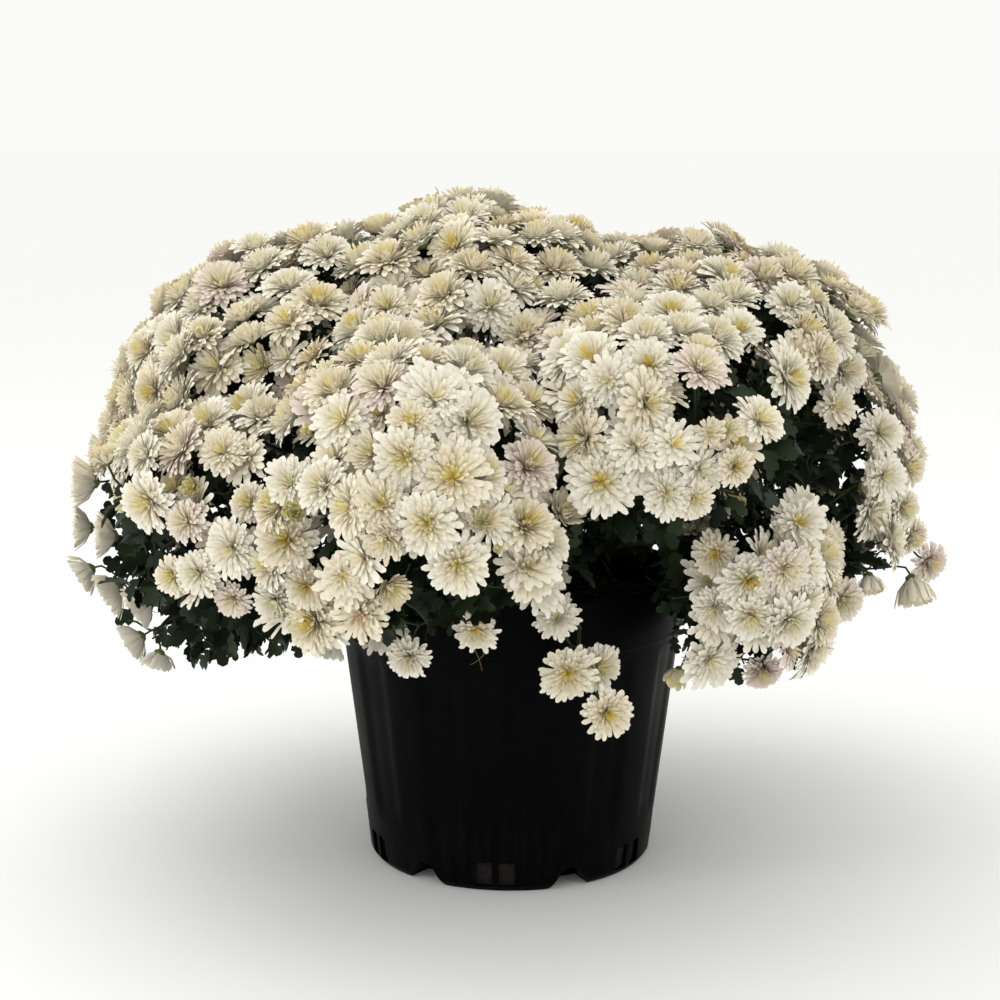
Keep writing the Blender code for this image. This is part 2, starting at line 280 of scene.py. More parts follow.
def spin_wire(bm, steps):
    """Turn everything in the bmesh once round Z, and close its seam and its poles."""
    bmesh.ops.spin(
        bm,
        geom=[*bm.verts, *bm.edges],
        cent=(0, 0, 0),
        axis=(0, 0, 1),
        angle=math.tau,
        steps=steps,
        use_merge=True,
    )
    bmesh.ops.remove_doubles(bm, verts=bm.verts, dist=1e-5)
    bmesh.ops.recalc_face_normals(bm, faces=bm.faces)


def smooth_step(share):
    share = max(0.0, min(1.0, share))
    return share * share * (3 - 2 * share)


def panel_share(point):
    """How far a point of the wall is pressed in, from 0 to 1."""
    rise = smooth_step((point.z - PANEL_FOOT) / PANEL_SLOPE)
    fall = smooth_step((PANEL_TOP - point.z) / PANEL_SLOPE)
    pitch = math.tau / PANEL_COUNT
    angle = math.atan2(point.x, -point.y) - PANEL_TURN
    offset = abs((angle + pitch / 2) % pitch - pitch / 2)
    return rise * fall * smooth_step((PANEL_HALF_WIDTH - offset) / PANEL_EDGE)


def turned_pot():
    band_foot = POT_HEIGHT - BAND_HEIGHT
    top = POT_HEIGHT
    points = [
        (0.0, POT_FLOOR),
        (wall_radius(POT_FLOOR) - POT_WALL, POT_FLOOR),
        (wall_radius(KNEE_HEIGHT) - POT_WALL, KNEE_HEIGHT),
        (wall_radius(PANEL_FOOT) - POT_WALL, PANEL_FOOT),
        (wall_radius(PANEL_TOP) - POT_WALL, PANEL_TOP),
        (wall_radius(band_foot) - POT_WALL, band_foot + POT_WALL),
        (RIM_RADIUS - POT_WALL, top),
        (RIM_RADIUS, top),
        (BAND_FOOT_RADIUS, band_foot),
        (BODY_TOP_RADIUS, band_foot - 0.0008),
        (wall_radius(PANEL_TOP), PANEL_TOP),
        (wall_radius(PANEL_FOOT), PANEL_FOOT),
        (KNEE_RADIUS, KNEE_HEIGHT),
        (HEEL_RADIUS, HEEL_HEIGHT),
        (FOOT_RADIUS, 0.0),
        (0.0, 0.0),
    ]
    bm = bmesh.new()
    wire_of(bm, points)
    inner_corners = [v for v in bm.verts if len(v.link_edges) == 2]
    bmesh.ops.bevel(
        bm,
        geom=inner_corners,
        offset=CORNER_ROUND,
        segments=3,
        profile=0.5,
        affect="VERTICES",
        material=-1,
    )
    long_edges = [edge for edge in bm.edges if edge.calc_length() > 0.1]
    tall = [edge for edge in long_edges if abs(edge.verts[0].co.z - edge.verts[1].co.z) > 0.1]
    bmesh.ops.subdivide_edges(bm, edges=tall, cuts=18)
    spin_wire(bm, POT_STEPS)
    for vertex in bm.verts:
        share = panel_share(vertex.co)
        if share > 0.0:
            across = math.hypot(vertex.co.x, vertex.co.y)
            scale = 1.0 - PANEL_DEPTH * share / across
            vertex.co.x *= scale
            vertex.co.y *= scale
    return mesh_of(bm, "pot")


# %% [markdown]
# The drainage is cut with booleans: a ring of tapered boxes for the arched notches under the
# foot, and rows of narrow boxes for the slots. Each notch has a hood inside the pot, so its
# hollow is closed off from the potting mix, as on the real can.

# %% Cut the drainage
def drain_boxes(turn, low, high, width, top_width, inner, outer, side_shift=0.0, round_top=0.0):
    """One box at each drain, narrower at its top, pointing out from the axis."""
    bm = bmesh.new()
    size = Matrix.Diagonal((outer - inner, width, high - low, 1.0))
    centre = Matrix.Translation(((outer + inner) / 2, side_shift, (high + low) / 2))
    for index in range(DRAIN_COUNT):
        box = bmesh.ops.create_cube(bm, size=1.0, matrix=centre @ size)["verts"]
        for vertex in box:
            if vertex.co.z > (low + high) / 2:
                vertex.co.y = side_shift + (vertex.co.y - side_shift) * top_width / width
        if round_top:
            lips = [
                edge
                for edge in {edge for vertex in box for edge in vertex.link_edges}
                if all(v.co.z > (low + high) / 2 for v in edge.verts)
                and abs(edge.verts[0].co.x - edge.verts[1].co.x) > (outer - inner) / 2
            ]
            rounded = bmesh.ops.bevel(
                bm,
                geom=lips,
                offset=round_top,
                segments=5,
                profile=0.5,
                affect="EDGES",
                material=-1,
            )
            box = list({v for v in [*box, *rounded["verts"]] if v.is_valid})
        angle = turn + index * math.tau / DRAIN_COUNT - math.pi / 2
        bmesh.ops.rotate(bm, cent=(0, 0, 0), matrix=Matrix.Rotation(angle, 3, "Z"), verts=box)
    bmesh.ops.recalc_face_normals(bm, faces=bm.faces)
    return mesh_of(bm, "drain_boxes")


def boolean(target, cutter_mesh, operation):
    """Join or cut a mesh with another one, and return the result."""
    body = bpy.data.objects.new("body", target)
    cutter = bpy.data.objects.new("cutter", cutter_mesh)
    scene.collection.objects.link(body)
    scene.collection.objects.link(cutter)
    modifier = body.modifiers.new("cut", "BOOLEAN")
    modifier.operation = operation
    modifier.solver = "EXACT"
    modifier.object = cutter
    bpy.context.view_layer.update()
    graph = bpy.context.evaluated_depsgraph_get()
    result = bpy.data.meshes.new_from_object(body.evaluated_get(graph), depsgraph=graph)
    bpy.data.objects.remove(body)
    bpy.data.objects.remove(cutter)
    return result


def plug_mesh(inset, foot, top):
    """A solid plug of the pot's outline, set in from its outer face."""
    heights = [top, KNEE_HEIGHT, HEEL_HEIGHT, foot]
    bm = bmesh.new()
    wire_of(bm, [(0.0, top), *((wall_radius(z) - inset, z) for z in heights), (0.0, foot)])
    spin_wire(bm, POT_STEPS // 3)
    return mesh_of(bm, "plug")


CLEARANCE = 0.0003


def notch_mesh(grow, foot):
    return drain_boxes(
        NOTCH_TURN,
        foot,
        NOTCH_HEIGHT + grow,
        NOTCH_WIDTH + 2 * grow,
        NOTCH_TOP_WIDTH + 2 * grow,
        NOTCH_INNER_REACH - grow,
        RIM_RADIUS,
        round_top=NOTCH_ROUND,
    )


pot_mesh = turned_pot()
hoods = boolean(notch_mesh(POT_WALL, CLEARANCE), plug_mesh(POT_WALL / 2, CLEARANCE, 0.05), "INTERSECT")
pot_mesh = boolean(pot_mesh, hoods, "UNION")
pot_mesh = boolean(pot_mesh, notch_mesh(0.0, -POT_WALL), "DIFFERENCE")
for side in (-1, 1):
    slots = drain_boxes(
        SLOT_TURN,
        SLOT_FOOT,
        SLOT_TOP,
        SLOT_WIDTH,
        SLOT_WIDTH,
        FOOT_RADIUS - SLOT_REACH,
        RIM_RADIUS,
        side_shift=side * (SLOT_WIDTH + SLOT_RIB) / 2,
    )
    pot_mesh = boolean(pot_mesh, slots, "DIFFERENCE")
pot_mesh.shade_smooth()
pot_mesh.set_sharp_from_angle(angle=math.radians(32))
print("pot triangles:", triangle_count(pot_mesh))

# %% [markdown]
# The plastic is recycled black polyethylene, injection moulded. It is a near-black satin: a
# very fine orange-peel grain breaks up its highlight, the wall is a little uneven in gloss,
# and a thin grey film of dust and lime sits on it, thicker towards the foot.

# %% Black moulded polyethylene
black_plastic, tree, shader = new_material("moulded_black_polyethylene", {
    "IOR": 1.51,
    "Metallic": 0.0,
    "Specular IOR Level": 0.03,
})
place = add_node(tree, "ShaderNodeTexCoord").outputs["Object"]
GRAIN_MM = 0.9
CLOUD_MM = 60.0
STREAK_MM = 7.0
grain = add_node(tree, "ShaderNodeTexNoise", {
    "Scale": 1000 / GRAIN_MM,
    "Detail": 2.0,
}, {"Vector": place})
clouds = add_node(tree, "ShaderNodeTexNoise", {
    "Scale": 1000 / CLOUD_MM,
    "Detail": 4.0,
}, {"Vector": place})
upright = add_node(tree, "ShaderNodeMapping", {"Scale": (1.0, 1.0, 0.06)}, {"Vector": place})
streaks = add_node(tree, "ShaderNodeTexNoise", {
    "Scale": 1000 / STREAK_MM,
    "Detail": 3.0,
}, {"Vector": upright.outputs["Vector"]})
height = add_node(tree, "ShaderNodeSeparateXYZ", {}, {"Vector": place})
low_dust = add_node(tree, "ShaderNodeMapRange", {
    "From Min": 0.09,
    "From Max": 0.0,
    "To Min": 0.10,
    "To Max": 0.55,
}, {"Value": height.outputs["Z"]})
dust_spots = add_node(tree, "ShaderNodeMapRange", {
    "From Min": 0.48,
    "From Max": 0.80,
}, {"Value": streaks.outputs["Fac"]})
dust = add_node(tree, "ShaderNodeMath", {"operation": "MULTIPLY"}, {
    0: low_dust.outputs["Result"],
    1: dust_spots.outputs["Result"],
})
plastic_colour = add_node(tree, "ShaderNodeMix", {
    "data_type": "RGBA",
    6: linear("#030404"),
    7: linear("#161615"),
}, {0: dust.outputs["Value"]})
gloss = add_node(tree, "ShaderNodeMapRange", {
    "From Min": 0.3,
    "From Max": 0.7,
    "To Min": 0.36,
    "To Max": 0.50,
}, {"Value": clouds.outputs["Fac"]})
peel = add_node(tree, "ShaderNodeBump", {
    "Strength": 0.12,
    "Distance": 0.0002,
}, {"Height": grain.outputs["Fac"]})
tree.links.new(plastic_colour.outputs[2], shader.inputs["Base Color"])
tree.links.new(gloss.outputs["Result"], shader.inputs["Roughness"])
tree.links.new(peel.outputs["Normal"], shader.inputs["Normal"])

add_piece("pot_shell", pot_mesh, [black_plastic], ["pot"])

# %% [markdown]
# ## Potting mix
#
# The mix is bark crumbs, peat and a little white perlite. The solid body of the mix stays as
# the frame gives it, with an earthy material. On top of it lies one joined piece of loose
# crumbs, because the surface of real mix is made of separate lumps that cast small shadows.

# %% Moist bark and peat, darkened with painted shade
potting_mix, tree, shader = new_material("moist_bark_and_peat_in_painted_shade", {"Roughness": 0.95})
place = add_node(tree, "ShaderNodeTexCoord").outputs["Object"]
CRUMB_MM = 5.0
crumbs = add_node(tree, "ShaderNodeTexVoronoi", {"Scale": 1000 / CRUMB_MM}, {"Vector": place})
fibres = add_node(tree, "ShaderNodeTexNoise", {
    "Scale": 1000 / CRUMB_MM * 2,
    "Detail": 5.0,
}, {"Vector": place})
# The colours are partly the mix's own, dark and moist, and partly painted shade: they are darker still
# because the mix lies in shadow inside the pot, seen through the drain slots.
earth = add_node(tree, "ShaderNodeValToRGB", {}, {"Fac": fibres.outputs["Fac"]})
earth.color_ramp.elements[0].position = 0.35
earth.color_ramp.elements[0].color = linear("#0b0806")
earth.color_ramp.elements[1].position = 0.70
earth.color_ramp.elements[1].color = linear("#1c140e")
relief = add_node(tree, "ShaderNodeBump", {
    "Strength": 0.9,
    "Distance": 0.002,
}, {"Height": crumbs.outputs["Distance"]})
tree.links.new(earth.outputs["Color"], shader.inputs["Base Color"])
tree.links.new(relief.outputs["Normal"], shader.inputs["Normal"])

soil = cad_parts["potting_mix"]
soil.data.materials.clear()
soil.data.materials.append(potting_mix)
soil_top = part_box("potting_mix")[1].z

# %% [markdown]
# ## Joined copies
#
# Crumbs, petals, blooms and leaves are all many copies of a few small shapes. Each shape is
# kept as arrays of corners and faces, and a copy is those corners times a matrix. Adding the
# arrays end to end gives one joined mesh, which is fast.

# %% Arrays of copies
Shape = namedtuple("Shape", "corners loops sizes zones")
Copy = namedtuple("Copy", "shape matrix palette")


def shape_of(bm):
    """The arrays of a small shape; a face's material number is its colour zone."""
    bm.verts.index_update()
    corners = np.array([vertex.co for vertex in bm.verts])
    loops = np.array([vertex.index for face in bm.faces for vertex in face.verts])
    sizes = np.array([len(face.verts) for face in bm.faces])
    zones = np.array([face.material_index for face in bm.faces])
    bm.free()
    return Shape(corners, loops, sizes, zones)


def joined_shape(shapes):
    """Several shapes as one."""
    counts = np.cumsum([0, *(len(shape.corners) for shape in shapes)])
    return Shape(
        np.concatenate([shape.corners for shape in shapes]),
        np.concatenate([shape.loops + start for shape, start in zip(shapes, counts)]),
        np.concatenate([shape.sizes for shape in shapes]),
        np.concatenate([shape.zones for shape in shapes]),
    )


def placed(copy):
    """A copy's shape in its place, with its zones turned into material slots."""
    matrix = np.array(copy.matrix)
    corners = copy.shape.corners @ matrix[:3, :3].T + matrix[:3, 3]
    return copy.shape._replace(corners=corners, zones=np.array(copy.palette)[copy.shape.zones])


def mesh_from_copies(name, copies):
    """One smooth mesh of all the copies."""
    whole = joined_shape([placed(copy) for copy in copies])
    mesh = bpy.data.meshes.new(name)
    mesh.vertices.add(len(whole.corners))
    mesh.vertices.foreach_set("co", whole.corners.astype(np.float32).ravel())
    mesh.loops.add(len(whole.loops))
    mesh.loops.foreach_set("vertex_index", whole.loops.astype(np.int32))
    mesh.polygons.add(len(whole.sizes))
    starts = np.cumsum([0, *whole.sizes[:-1]])
    mesh.polygons.foreach_set("loop_start", starts.astype(np.int32))
    mesh.polygons.foreach_set("material_index", whole.zones.astype(np.int32))
    mesh.update(calc_edges=True)
    mesh.validate()
    mesh.shade_smooth()
    return mesh


def facing_matrix(place, facing, roll, scale):
    """A matrix that puts a shape at a place with its +Z along a direction."""
    turn = facing.to_track_quat("Z", "Y").to_matrix().to_4x4()
    spun = turn @ Matrix.Rotation(roll, 4, "Z")
    return Matrix.Translation(place) @ spun @ Matrix.Diagonal((*scale, 1.0))


# %% Loose crumbs on the mix
CRUMB_COUNT = 900
CRUMB_SIZE = (0.0016, 0.0042)
PERLITE_SHARE = 0.02

rng = np.random.default_rng(11)
crumb_shapes = []
for number in range(5):
    bm = bmesh.new()
    bmesh.ops.create_icosphere(bm, subdivisions=1, radius=1.0)
    for vertex in bm.verts:
        vertex.co *= 1.0 + rng.uniform(-0.35, 0.25)
        vertex.co.z *= 0.6
    crumb_shapes.append(shape_of(bm))

crumb_copies = []
for number in range(CRUMB_COUNT):
    angle = rng.uniform(0, math.tau)
    across = math.sqrt(rng.uniform(0, 1)) * 0.133
    size = rng.uniform(*CRUMB_SIZE)
    spot = Vector((across * math.cos(angle), across * math.sin(angle), soil_top + size * 0.2))
    tilt = Vector(rng.uniform(-0.5, 0.5, 3)) + Vector((0, 0, 1))
    stretch = (size * rng.uniform(0.8, 1.6), size, size * rng.uniform(0.6, 1.0))
    matrix = facing_matrix(spot, tilt, rng.uniform(0, math.tau), stretch)
    shade = 3 if rng.uniform() < PERLITE_SHARE else int(rng.integers(0, 3))
    crumb_copies.append(Copy(crumb_shapes[number % 5], matrix, [shade]))

crumb_finishes = [
    new_material(name, {"Base Color": linear(colour), "Roughness": rough})[0]
    for name, colour, rough in (
        ("dark_peat_crumb", "#1a120c", 0.95),
        ("brown_bark_crumb", "#302418", 0.9),
        ("weathered_bark_crumb", "#453728", 0.9),
        ("expanded_perlite_grain", "#8f8c84", 0.8),
    )
]
crumb_mesh = mesh_from_copies("loose_crumbs", crumb_copies)
add_piece("loose_crumbs", crumb_mesh, crumb_finishes)
print("crumb triangles:", triangle_count(crumb_mesh))

# %% [markdown]
# ## Woody stem and boughs
#
# The foot of a garden chrysanthemum is a short knot of ribbed, grey-brown wood. The frame
# holds it as a turned solid and twelve plain tapering limbs. Here the knot is turned again
# with more points and given ribs and lumps, and each limb is a curve with a round bevel along
# the same middle line, whose surface is then raised and sunk for the bark.

# %% Ribbed grey-brown bark
bark, tree, shader = new_material("ribbed_chrysanthemum_bark", {"Roughness": 0.85})
place = add_node(tree, "ShaderNodeTexCoord").outputs["Object"]
RIB_MM = 1.6
patches = add_node(tree, "ShaderNodeTexNoise", {
    "Scale": 1000 / (RIB_MM * 6),
    "Detail": 5.0,
}, {"Vector": place})
fissures = add_node(tree, "ShaderNodeTexNoise", {
    "Scale": 1000 / RIB_MM,
    "Detail": 4.0,
}, {"Vector": place})
wood = add_node(tree, "ShaderNodeValToRGB", {}, {"Fac": patches.outputs["Fac"]})
wood.color_ramp.elements[0].position = 0.35
wood.color_ramp.elements[0].color = linear("#1f1d13")
wood.color_ramp.elements[1].position = 0.68
wood.color_ramp.elements[1].color = linear("#43392a")
cracks = add_node(tree, "ShaderNodeBump", {
    "Strength": 0.6,
    "Distance": 0.0005,
}, {"Height": fissures.outputs["Fac"]})
tree.links.new(wood.outputs["Color"], shader.inputs["Base Color"])
tree.links.new(cracks.outputs["Normal"], shader.inputs["Normal"])

# %% The woody knot
STEM_LEAN = 0.08
KNUCKLE_HEIGHT = 0.027
KNUCKLE_RADIUS = 0.0186
STEM_RIBS = 9
STEM_RIB_DEPTH = 0.05

stem_low, stem_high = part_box("main_stem")
knuckle = Vector((STEM_LEAN * KNUCKLE_HEIGHT, 0.0, stem_low.z + KNUCKLE_HEIGHT))

bm = bmesh.new()
ball = [
    (KNUCKLE_RADIUS * math.cos(math.radians(a)), KNUCKLE_HEIGHT + KNUCKLE_RADIUS * math.sin(math.radians(a)))
    for a in range(80, -41, -10)
]
outline = [(0.0, KNUCKLE_HEIGHT + KNUCKLE_RADIUS), *ball, (0.0128, 0.0105), (0.0140, 0.0055)]
wire_of(bm, [*outline, (0.0165, 0.0028), (0.0200, 0.0), (0.0, 0.0)])
spin_wire(bm, 72)
for vertex in bm.verts:
    angle = math.atan2(vertex.co.y, vertex.co.x)
    rib = STEM_RIB_DEPTH * math.cos(STEM_RIBS * angle + 40 * vertex.co.z)
    lump = 0.10 * noise.noise(vertex.co * 90)
    scale = 1.0 + (rib + lump) * smooth_step(vertex.co.z / 0.004)
    vertex.co.x = vertex.co.x * scale + STEM_LEAN * vertex.co.z
    vertex.co.y *= scale
    vertex.co.z += stem_low.z
stem_mesh = mesh_of(bm, "woody_stem")
stem_mesh.shade_smooth()
add_piece("woody_stem", stem_mesh, [bark], ["main_stem"])

# %% The boughs
BOUGH_CORNERS = 6
BOUGH_FOOT_RADIUS = 0.0036
BOUGH_TIP_RADIUS = 0.0024
LIMB_SIDES = 14
bough_names = sorted(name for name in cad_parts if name.startswith("bough_"))


def middle_line(node):
    """The middle line of a bough's solid, outwards from the knuckle, from its rings."""
    corners = np.array([vertex.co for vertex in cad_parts[node].data.vertices])
    corners = np.unique(np.round(corners, 5), axis=0)
    order = np.argsort(np.linalg.norm(corners - np.array(knuckle), axis=1))
    rings = corners[order].reshape(-1, BOUGH_CORNERS, 3)
    return [Vector(ring.mean(axis=0)) for ring in rings]


def curve_tubes(name, strands, bevel_resolution):
    """Every strand as one tube with its own radii, all in one mesh."""
    curve = bpy.data.curves.new(name, "CURVE")
    curve.dimensions = "3D"
    curve.bevel_depth = 1.0
    curve.bevel_resolution = bevel_resolution
    curve.use_fill_caps = True
    for points, radii in strands:
        spline = curve.splines.new("POLY")
        spline.points.add(len(points) - 1)
        spline.points.foreach_set("co", np.array([(*point, 1.0) for point in points]).ravel())
        spline.points.foreach_set("radius", np.array(radii, dtype=float))
    carrier = bpy.data.objects.new(name, curve)
    scene.collection.objects.link(carrier)
    bpy.context.view_layer.update()
    graph = bpy.context.evaluated_depsgraph_get()
    mesh = bpy.data.meshes.new_from_object(carrier.evaluated_get(graph), depsgraph=graph)
    mesh.name = name
    bpy.data.objects.remove(carrier)
    bpy.data.curves.remove(curve)
    return mesh


def smooth_line(points, count):
    """A line of evenly spread points through a few, by Catmull-Rom pieces."""
    line = []
    for step in range(count):
        share = step / (count - 1) * (len(points) - 1)
        first = min(int(share), len(points) - 2)
        t = share - first
        p0 = points[max(first - 1, 0)]
        p1 = points[first]
        p2 = points[first + 1]
        p3 = points[min(first + 2, len(points) - 1)]
        line.append(
            0.5
            * (
                2 * p1
                + (p2 - p0) * t
                + (2 * p0 - 5 * p1 + 4 * p2 - p3) * t**2
                + (3 * p1 - p0 - 3 * p2 + p3) * t**3
            )
        )
    return line


bough_lines = {name: middle_line(name) for name in bough_names}
limbs = []
for name, line in bough_lines.items():
    foot = knuckle.lerp(line[0], 0.5)
    fine = smooth_line([foot, *line], 44)
    radii = np.linspace(BOUGH_FOOT_RADIUS * 1.15, BOUGH_TIP_RADIUS, len(fine))
    limbs.append((fine, radii))
bough_mesh = curve_tubes("boughs", limbs, 5)
bm = bmesh.new()
bm.from_mesh(bough_mesh)
bmesh.ops.remove_doubles(bm, verts=bm.verts, dist=1e-6)
bm.normal_update()
for vertex in bm.verts:
    rib = noise.noise(vertex.co * 420)
    lump = noise.noise(vertex.co * 90)
    vertex.co += vertex.normal * (0.00022 * rib + 0.00045 * lump)
bough_mesh = mesh_of(bm, "boughs")
bough_mesh.shade_smooth()
add_piece("ribbed_boughs", bough_mesh, [bark], bough_names)
print("bough triangles:", triangle_count(bough_mesh))

# %% [markdown]
# ## Gaps in the crown
#
# Between the lobes the photo shows deep gaps with dark leaves and bare green shoots, and at
# the sides of the crown some sky. Each gap is written down as the camera sees it: an ellipse
# in the picture, with the range of depth that it clears. Nothing of a kind grows there.

# %% Gaps as the camera sees them
PICTURE_SIZE = 1000
PICTURE_MIDDLE = PICTURE_SIZE / 2
FOCAL_PIXELS = LENS_MM / SENSOR_WIDTH_MM * PICTURE_SIZE
AHEAD = Vector((0.0, math.cos(CAMERA_TILT_DOWN), -math.sin(CAMERA_TILT_DOWN)))
UPWARD = Vector((0.0, math.sin(CAMERA_TILT_DOWN), math.cos(CAMERA_TILT_DOWN)))


def in_picture(point):
    """The column and row of the picture at which the camera sees a point."""
    ray = point - CAMERA_PLACE
    depth = ray.dot(AHEAD)
    column = PICTURE_MIDDLE + FOCAL_PIXELS * ray.x / depth
    return column, PICTURE_MIDDLE - FOCAL_PIXELS * ray.dot(UPWARD) / depth


def seen_at(column, row, y):
    """The point at a depth Y that the camera sees at a column and row."""
    across = (column - PICTURE_MIDDLE) / FOCAL_PIXELS
    rise = (PICTURE_MIDDLE - row) / FOCAL_PIXELS
    ray = AHEAD + UPWARD * rise + Vector((across, 0.0, 0.0))
    return CAMERA_PLACE + ray * ((y - CAMERA_PLACE.y) / ray.y)


Gap = namedtuple("Gap", "name column row half_width half_height far")
BLOOM_GAPS = (
    Gap("right_gap_top", 770, 315, 14, 20, 0.06),
    Gap("right_gap_neck", 758, 372, 26, 30, 0.08),
    Gap("right_gap_left", 720, 394, 18, 16, 0.04),
    Gap("right_gap_shoulder", 797, 400, 16, 10, 0.10),
    Gap("right_gap", 838, 435, 44, 60, 0.16),
    Gap("right_gap_middle", 786, 468, 22, 34, 0.14),
    Gap("right_gap_foot", 757, 508, 26, 28, 0.12),
    Gap("right_gap_slot", 850, 502, 8, 24, 0.14),
    Gap("middle_gap", 630, 565, 62, 52, 0.12),
    Gap("middle_gap_foot", 655, 612, 36, 46, 0.10),
    Gap("left_gap_top", 268, 450, 18, 18, -0.02),
    Gap("left_gap", 214, 490, 20, 16, 0.0),
    Gap("left_gap_right", 316, 535, 12, 36, -0.03),
    Gap("left_gap_floor", 251, 584, 15, 8, -0.05),
    Gap("left_leaf_column", 138, 566, 18, 30, 0.5),
    Gap("left_edge_leaves", 115, 500, 8, 30, 0.5),
    Gap("front_gap", 508, 422, 12, 22, -0.05),
    Gap("front_gap_right", 590, 414, 9, 14, -0.05),
    Gap("front_gap_left", 402, 566, 12, 5, -0.1),
    Gap("front_gap_foot", 446, 612, 13, 14, -0.1),
    Gap("front_gap_floor", 486, 590, 8, 8, -0.1),
    Gap("top_gap_left", 330, 340, 12, 16, 0.05),
    Gap("top_gap_right", 598, 283, 7, 10, 0.10),
    Gap("left_foot_leaves", 188, 632, 28, 32, 0.0),
    Gap("left_foot_hanging", 255, 648, 48, 12, 0.0),
)
SKY_GAPS = (
    Gap("right_sky", 848, 460, 9, 6, 0.5),
    Gap("right_foot_sky", 884, 570, 20, 14, 0.5),
    Gap("left_foot_sky", 154, 621, 18, 16, 0.5),
    Gap("left_lowest_sky", 176, 644, 12, 4, 0.5),
)
EDGE_GAPS = (
    Gap("left_edge", 88, 566, 32, 104, 0.5),
    Gap("right_edge", 940, 500, 20, 44, 0.5),
)
BLOOM_MARGIN = 13
DEEP_MARGIN = 18
LEAFY_MARGIN = 10


def in_gap(gaps, point, margin=0.0):
    """Whether the camera sees a point inside one of the gaps."""
    column, row = in_picture(point)
    return any(
        math.hypot(
            (column - gap.column) / (gap.half_width + margin),
            (row - gap.row) / (gap.half_height + margin),
        ) < 1.0
        and point.y < gap.far
        for gap in gaps
    )


# %% [markdown]
# ## Where the blooms stand
#
# A chrysanthemum of this kind is pinched often, so that hundreds of shoots end at about the
# same height and the blooms shingle over each other. Their places are drawn evenly over the
# outer faces of the frame's crown masses: a dart is thrown, and it stays if no earlier dart
# is too near. A second, deeper layer fills the gaps of the first.

# %% Surfaces of the crown
crown_names = sorted(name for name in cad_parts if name.startswith("crown_"))
SPRAY = "crown_front_spray"
surfaces = {}
for name in crown_names:
    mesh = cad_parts[name].data
    corners = [vertex.co for vertex in mesh.vertices]
    surfaces[name] = BVHTree.FromPolygons(corners, [tuple(face.vertices) for face in mesh.polygons])

HEART_CENTRE = Vector((0.0, 0.0, 0.235))
HEART_RADII = Vector((0.114, 0.114, 0.086))
LIFT = 0.0001
SEAM_ROOM = 0.016
RIM_CLEARANCE = 0.014


def in_heart(point):
    offset = point - HEART_CENTRE
    return Vector(offset[axis] / HEART_RADII[axis] for axis in range(3)).length < 1.0


def by_the_pot(point):
    return point.xy.length < RIM_RADIUS + RIM_CLEARANCE and point.z < POT_HEIGHT + RIM_CLEARANCE


def is_covered(name, point, normal):
    """Whether another mass lies close over a point of this one, as at a seam."""
    lifted = point + normal * LIFT
    others = (tree for other, tree in surfaces.items() if other != name)
    return any(tree.ray_cast(lifted, normal, SEAM_ROOM)[0] is not None for tree in others)


# %% Throw the darts
Spot = namedtuple("Spot", "mass place facing is_under")
DARTS_PER_SQUARE_METRE = 26000
UNDERSIDE = -0.42
ROOT_OF_SHOOTS = Vector((0.0, 0.0, 0.19))
FACING_OUT = 1.1
FACING_UP = 0.05
FACING_STRAY = 0.2


def facing_at(place, normal):
    """The direction of a shoot's end: out of the mass, and away from the plant's root."""
    away = (place - ROOT_OF_SHOOTS).normalized()
    return (normal + away * FACING_OUT + Vector((0, 0, FACING_UP))).normalized()


def darts_on(name, rng):
    """Random places on a mass's outer faces, each with its outward direction."""
    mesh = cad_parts[name].data
    areas = np.array([face.area for face in mesh.polygons])
    count = int(areas.sum() * DARTS_PER_SQUARE_METRE)
    picks = rng.choice(len(areas), count, p=areas / areas.sum())
    spots = []
    for index in picks:
        face = mesh.polygons[int(index)]
        a, b, c = (mesh.vertices[corner].co for corner in face.vertices)
        u, v = rng.uniform(0, 1, 2)
        if u + v > 1:
            u, v = 1 - u, 1 - v
        place = a + (b - a) * u + (c - a) * v
        facing = facing_at(place, face.normal) + Vector(rng.normal(0, FACING_STRAY, 3))
        if not is_covered(name, place, face.normal):
            is_under = face.normal.z < UNDERSIDE or in_heart(place) or by_the_pot(place)
            spots.append(Spot(name, place, facing.normalized(), is_under))
    return spots


def spread_out(spots, spacing, avoid=(), avoid_spacing=0.0):
    """The spots that lie far enough from every earlier one, and from some others."""
    kept = []
    taken = np.full((len(spots), 3), np.inf)
    others = np.array([spot.place for spot in avoid]).reshape(-1, 3)
    for spot in spots:
        place = np.array(spot.place)
        if np.linalg.norm(taken[:len(kept) + 1] - place, axis=1).min() < spacing:
            continue
        if len(others) and np.linalg.norm(others - place, axis=1).min() < avoid_spacing:
            continue
        taken[len(kept)] = place
        kept.append(spot)
    return kept


